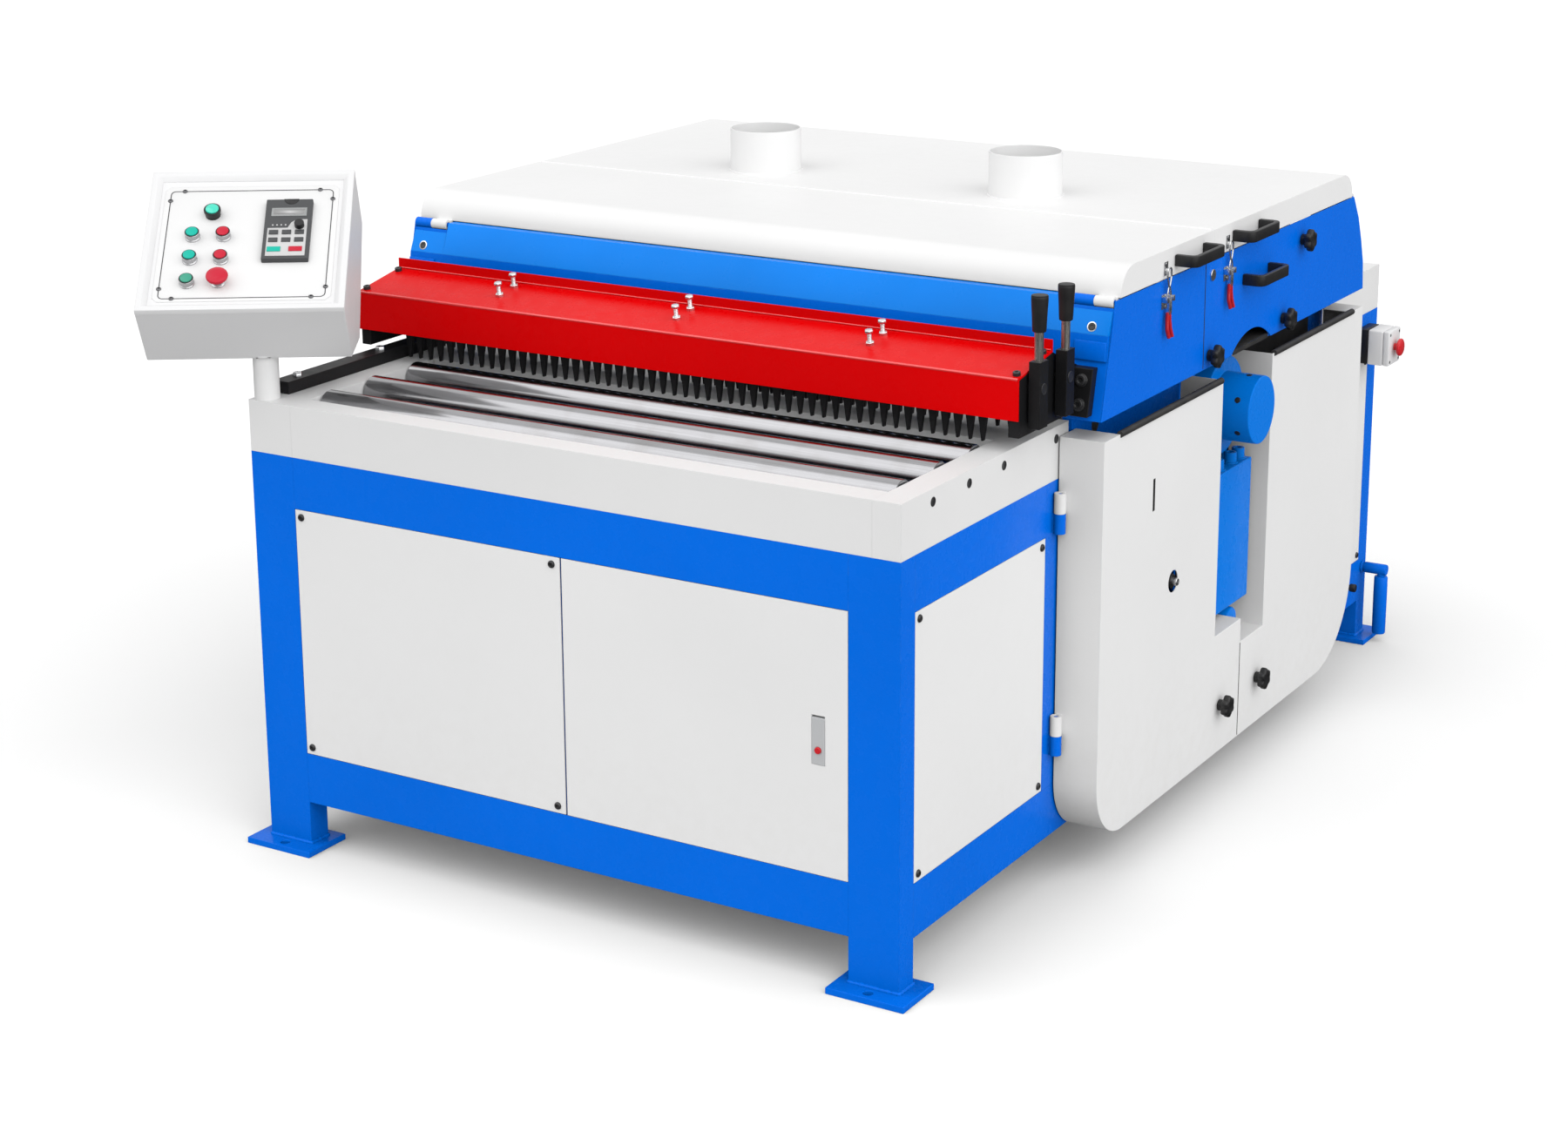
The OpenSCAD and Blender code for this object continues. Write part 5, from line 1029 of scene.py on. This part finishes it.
# A thin black rod in the seam between the two covers is painted shade of their gap.
seam_rod_r = 1.3
seam_shade_x = 791.6
seam_y = 1256.0
seam_foot = 92
seam_head = 290
seam = [at(seam_shade_x, seam_y, seam_foot), at(seam_shade_x, seam_y, seam_head)]
rod("cover_seam_seal", [seam], seam_rod_r, rubber_and_shade, "front_belt_cover", step=8)
gasket_x = 787.6
gasket_y = 1028.8
gasket_foot = 910
gasket_head = 1116
joint = [at(gasket_x, gasket_y, gasket_foot), at(gasket_x, gasket_y, gasket_head)]
rod("side_door_gasket", [joint], seam_rod_r, rubber_and_shade, "frame", step=8)
edging_r = 6.5
edging_x = 791
cover_top = 868
for side, start, end in (("front", 651, 1116), ("rear", 1384, 1825)):
    rim = [at(edging_x, start, cover_top), at(edging_x, end, cover_top)]
    rod(side + "_cover_edging", [rim], edging_r, rubber_and_shade, side + "_belt_cover", step=8)

# Stop box and crank
# A grey moulded box with a red mushroom button on a black bracket. The blue crank below it is bent
# from bar and sleeved; a black knob sits on the rail beside it.
grey_plastic = sprayed("grey_plastic", (0.72, 0.72, 0.73), 0.45, peel=600.0, peel_depth=0.12, dust=0.1,
                       edge_share=0.0)
box_y = 2153
box_z = 722
box_face = 775
box_half = 37
box_half_tall = 40


def stop_block(name, material, low, high, inset, edge, segments):
    """Rounded block of the stop box, from one depth to another, a little inside its outline."""
    half, tall = box_half - inset, box_half_tall - inset
    bm = bmesh.new()
    box(bm, machine, (low, box_y - half, box_z - tall), (high, box_y + half, box_z + tall))
    rounded(bm, edge, segments=segments)
    return settle(made(name, bm, material), "frame")


enclosure = stop_block("stop_enclosure", grey_plastic, low=725, high=760, inset=0, edge=4.0,
                       segments=3)
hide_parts("stop_box")
stop_block("stop_enclosure_lid", grey_plastic, low=760.6, high=box_face, inset=0.4, edge=3.5,
           segments=3)
stop_block("stop_bracket", black_paint, low=700.2, high=724.8, inset=1, edge=1.5, segments=2)
box_screw = ((3.4, 0), (3.2, 0.8), (1.6, 1.1), (1.5, 0.5, 4), (0, 0.4))
box_screw_in = 9
box_screw_x = box_face - 0.4
box_spots = []
for y_way in (-1, 1):
    for z_way in (-1, 1):
        y = box_y + y_way * (box_half - box_screw_in)
        z = box_z + z_way * (box_half_tall - box_screw_in)
        box_spots.append((at(box_screw_x, y, z), toward_right))
spread("stop_box_screws", box_screw, box_spots, black_oxide, "frame")
mushroom = ((8, -8), (8, 6), (10, 7), (17, 9), (19.4, 11), (20, 13.5), (19.2, 16), (16, 18), (9, 19.4),
            (0, 19.8))
box_front = sideways(box_face, box_y, box_z)
stop_head = turned_on("stop_mushroom", box_front, mushroom, red_plastic, "stop_button")
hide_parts("stop_button")
wear_finish(blue_enamel, "lift_crank")
soften(1.0, "lift_crank")
crank_x = 748
crank_y = 2215
crank_z = 175
crank_grip = ((9.0, 20), (14.0, 20.4), (15.4, 23), (15.8, 120), (15.4, 156), (14.0, 158.6), (9.0, 159))
grip_place = Matrix.Translation(at(crank_x, crank_y, 0))
turned_on("crank_grip", grip_place, crank_grip, blue_enamel, "lift_crank")
crank_arm = ((9.0, 8), (11.6, 8.4), (12.6, 10), (12.6, 59), (11.6, 61), (4.0, 61), (3.4, 60), (0, 60))
arm_place = sideways(frame_half, crank_y, crank_z)
turned_on("crank_arm", arm_place, crank_arm, blue_enamel, "lift_crank")
rail_knob = ((6.5, 0), (6.5, 8), (8.6, 9), (9.4, 11), (9.4, 20), (8.4, 22), (0, 22.4))
knob_y = 2120
knob_z = 151
knob_place = sideways(frame_half, knob_y, knob_z)
turned_on("rail_knob", knob_place, rail_knob, black_plastic, "frame")

# Console
# A desk-shaped white sheet housing on a round post. Its face is framed by a folded rim and carries
# a screwed plate with push buttons, a pilot lamp and a mushroom stop.
wear_finish(rim_grey, "control_post")
# The console's white is a darker copy of the panels' white powder: painted shade that keeps the brightly lit
# housing and rim from burning out.
console_white_shaded = sprayed("console_white_shaded", (0.73, 0.73, 0.735), 0.46, peel=420.0, peel_depth=0.05, tone=0.015,
                        dust=0.0, edge_share=0.2, edge_color=chipped_white, shine=0.12)
wear_finish(console_white_shaded, "console_box")
soften(2.0, "console_box")
console_turn = math.radians(34)
console_tilt = math.radians(34)
face_half = 190
face_long = 362
post_x = -675
post_y = 25
face_foot = Vector((-25, -130, 1082))
face = (Matrix.Translation(at(post_x, post_y, 0)) @ Matrix.Rotation(console_turn, 4, "Z")
        @ Matrix.Translation(face_foot * mm) @ Matrix.Rotation(console_tilt, 4, "X"))
face_normal = (face.to_3x3() @ upward).normalized()


def on_face(u, v, h=0.0):
    """Frame at a place on the console's face, with Z out of it."""
    return face @ Matrix.Translation(Vector((u, v, h)) * mm)


rim_tall = 9
rim_flat = 11
rim_foot = 20
loops = []
bm = bmesh.new()
for inset, h in ((0, -2), (0, rim_tall), (rim_flat, rim_tall), (rim_foot, 1.0), (rim_foot, 0.1)):
    half, high = face_half - inset, face_long - inset
    corners = ((-half, inset), (half, inset), (half, high), (-half, high))
    loops.append([bm.verts.new(on_face(u, v, h).translation) for u, v in corners])
for a, b in zip(loops, loops[1:]):
    for k in range(4):
        n = (k + 1) % 4
        bm.faces.new((a[k], a[n], b[n], b[k]))
rounded(bm, 1.6, angle=20)
settle(made("console_rim", bm, console_white_shaded), "console")
plate_half = 163
plate_low = 28
plate_high = 328
plate_foot = 0.1
plate_thick = 1.0
notch = 10
plate = [(-plate_half, plate_low + notch), (-plate_half + notch, plate_low), (plate_half - notch, plate_low),
         (plate_half, plate_low + notch), (plate_half, plate_high - notch), (plate_half - notch, plate_high),
         (-plate_half + notch, plate_high), (-plate_half, plate_high - notch)]
bm = bmesh.new()
extruded(bm, face, plate, plate_foot, plate_thick)
rounded(bm, 0.3)
# The face plate's white is darker too: painted shade for the face, which turns up into the key light.
face_white_shaded = sprayed("face_white_shaded", (0.75, 0.75, 0.75), 0.38, peel=900.0, peel_depth=0.05, tone=0.015,
                     dust=0.0, edge_share=0.0, shine=0.15)
settle(made("console_plate", bm, face_white_shaded), "console")
ink_grey = sprayed("ink_grey", (0.04, 0.04, 0.045), 0.5, peel=900.0, peel_depth=0.05, dust=0.0, edge_share=0.0)
line_half = 152
line_low = 36
line_high = 316
line_corners = ((-line_half, line_low), (line_half, line_low), (line_half, line_high),
                (-line_half, line_high))
line_r = 0.9
line = [on_face(u, v, plate_thick).translation for u, v in line_corners]
rod("console_border", [line], line_r, ink_grey, "console", bend=9, step=2.0, closed=True)
screw_in = 25
screw_h = 0.9
plate_screw = ((4.8, 0), (4.6, 1.2), (3.2, 2.4), (1.8, 2.8), (1.6, 1.2, 4), (0, 1.0))
plate_spots = []
for side in (-1, 1):
    for v, inward in ((line_low, 1), (line_high, -1)):
        for u, w in ((side * (line_half - screw_in), v), (side * line_half, v + inward * screw_in)):
            plate_spots.append((on_face(u, w, screw_h).translation, face_normal))
screw_grey = metal("screw_grey", (0.12, 0.12, 0.125), 0.34)
spread("console_plate_screws", plate_screw, plate_spots, screw_grey, "console")


def cap_plastic(name, color, shine=0.25):
    """Finish of a moulded button cap."""
    return sprayed(name, color, 0.3, peel=500.0, peel_depth=0.04, dust=0.0, edge_share=0.0, shine=shine)


green_cap = cap_plastic("green_cap", (0.005, 0.44, 0.34))
red_cap = cap_plastic("red_cap", (0.52, 0.012, 0.035))
dark_green_cap = cap_plastic("dark_green_cap", (0.03, 0.30, 0.20), 0.5)
# The collars' silver is darkened and the black gasket ring round each cap is made wide: painted shade
# standing in for the shadows round the buttons.
bezel_silver_shaded = metal("bezel_silver_shaded", (0.46, 0.46, 0.47), 0.32)
collar = ((11.9, 1.0), (14.2, 1.0), (14.2, 3.2), (12.6, 4.6), (12.6, 12.6), (13.8, 13.6), (13.8, 15.0),
          (13.2, 15.6), (12.4, 15.6), (11.9, 15.0), (11.9, 1.0))
cap = ((0, 6.0), (11.2, 6.0), (11.2, 16.8), (10.8, 17.8), (7.0, 18.6), (0, 18.9))
gasket_shade_ring = ((11.4, 13.0), (11.4, 16.3), (11.8, 16.7), (12.9, 16.5), (13.1, 15.5), (11.4, 13.0))
left_u = -101.8
right_u = -44.8
rows = (73.8, 133.9, 194.0)
for name, u, v, finish, slot in (("start_button_1", left_u, rows[2], green_cap, "green_plastic"),
                                 ("stop_button_1", right_u, rows[2], red_cap, "red_plastic"),
                                 ("start_button_2", left_u, rows[1], green_cap, "green_plastic"),
                                 ("stop_button_2", right_u, rows[1], red_cap, "red_plastic"),
                                 ("reset_button", left_u, rows[0], dark_green_cap, "green_plastic")):
    place = on_face(u, v)
    turned_on(name + "_collar", place, collar, bezel_silver_shaded, "console")
    turned_on(name + "_gasket", place, gasket_shade_ring, black_plastic, "console")
    pushed = turned_on(name + "_cap", place, cap, finish, name)
    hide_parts(name)
stop_place = on_face(right_u, rows[0])
stop_cap = ((0, 6), (7.8, 6), (7.8, 12), (10, 13), (17, 16), (20.0, 18.4), (20.6, 20.8), (19.8, 23.6),
            (16.5, 25.6), (9, 26.8), (0, 27))
pushed = turned_on("console_stop_mushroom", stop_place, stop_cap, red_cap, "console_stop")
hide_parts("console_stop")
stop_collar = ((8.2, 1), (13.2, 1), (13.2, 3), (10.4, 5), (10.4, 7.5), (8.2, 7.5), (8.2, 1))
turned_on("console_stop_collar", stop_place, stop_collar, bezel_silver_shaded, "console")
lamp_u = -69
lamp_v = 252
lamp_place = on_face(lamp_u, lamp_v)
lamp_ring = ((12.6, 9), (12.6, 17), (14.2, 17.6), (15.8, 16.6), (15.8, 11), (14.2, 8), (14.2, 1),
             (12.6, 1), (12.6, 9))
turned_on("lamp_ring", lamp_place, lamp_ring, black_plastic, "console")
lamp_lens = ((12.4, 2), (12.4, 18.2), (11.4, 19.4), (6.5, 20.6), (0, 21.0))
lens_green = sprayed("lens_green", (0.03, 0.62, 0.46), 0.16, peel=500.0, peel_depth=0.03, dust=0.0, edge_share=0.0,
                     coat=0.5)
turned_on("lamp_lens", lamp_place, lamp_lens, lens_green, "console")

# Keypad
# The speed controller's panel on the console: a dark grey moulded case with a display strip, a pale
# key field, six dark keys, a green and a red one, and a round black dial.
case_grey = sprayed("case_grey", (0.06, 0.062, 0.065), 0.45, peel=800.0, peel_depth=0.1, shine=0.3, dust=0.0,
                    edge_share=0.0)
wear_finish(case_grey, "keypad")
wear_finish(black_plastic, "keypad_dial")
soften(2.0, "keypad")
soften(1.0, "keypad_dial")
display_grey = sprayed("display_grey", (0.27, 0.28, 0.28), 0.22, peel=900.0, peel_depth=0.03, dust=0.0,
                       edge_share=0.0)
field_grey = sprayed("field_grey", (0.55, 0.55, 0.55), 0.42, peel=900.0, peel_depth=0.04, dust=0.0, edge_share=0.0)
case_h = 12.05
key_low = case_h + 0.6
key_high = case_h + 2.2


def keypad_part(name, outline, low, high, material, edge=0.4):
    """Flat moulded part on the keypad's front."""
    bm = bmesh.new()
    extruded(bm, face, outline, low, high)
    rounded(bm, edge)
    settle(made(name, bm, material), "console")


def oblong(u, v, wide, tall):
    """Rectangle round a middle point."""
    u0, u1 = u - wide / 2, u + wide / 2
    v0, v1 = v - tall / 2, v + tall / 2
    return (u0, v0), (u1, v0), (u1, v1), (u0, v1)


display_u = 74.5
display_v = 246
display_wide = 66
display_tall = 22
window_less = 8
glass_h = case_h + 0.8
window_h = case_h + 1.0
display = oblong(display_u, display_v, display_wide, display_tall)
keypad_part("keypad_display", display, case_h, glass_h, display_grey)
window = oblong(display_u, display_v, display_wide - window_less, display_tall - window_less)
keypad_part("keypad_window", window, glass_h, window_h, field_grey, 0.1)
field = ((37, 131), (110, 131), (110, 226), (90, 226), (80, 218), (74, 204), (37, 204))
keypad_part("keypad_field", field, case_h, key_low, field_grey, 0.2)
notch_u = 77
notch_v = 280.6
notch_r = 14
notch_h = case_h + 0.5
finger_notch = arc(notch_u, notch_v, notch_r, 180, 360, 14)
keypad_part("keypad_notch", finger_notch, case_h, notch_h, black_plastic, 0.1)
light = ((1.7, 0), (1.6, 0.5), (0.9, 0.9), (0, 1.0))
lights_u = (46, 54, 62, 70)
lights_v = 212
light_spots = [(on_face(u, lights_v, case_h).translation, face_normal) for u in lights_u]
spread("keypad_lights", light, light_spots, field_grey, "console")
key_rows = (192, 172)
key_columns = (49, 73, 97)
key_wide = 17
key_tall = 11
for row, v in enumerate(key_rows):
    for column, u in enumerate(key_columns):
        key = oblong(u, v, key_wide, key_tall)
        keypad_part(f"keypad_key_{row + 1}_{column + 1}", key, key_low, key_high, case_grey)
long_key_v = 148
long_key_wide = 25
long_key_tall = 12
for name, u, finish, slot in (("run", 52, green_cap, "green_plastic"), ("halt", 92, red_cap, "red_plastic")):
    key = oblong(u, long_key_v, long_key_wide, long_key_tall)
    keypad_part("keypad_key_" + name, key, key_low, key_high, finish)
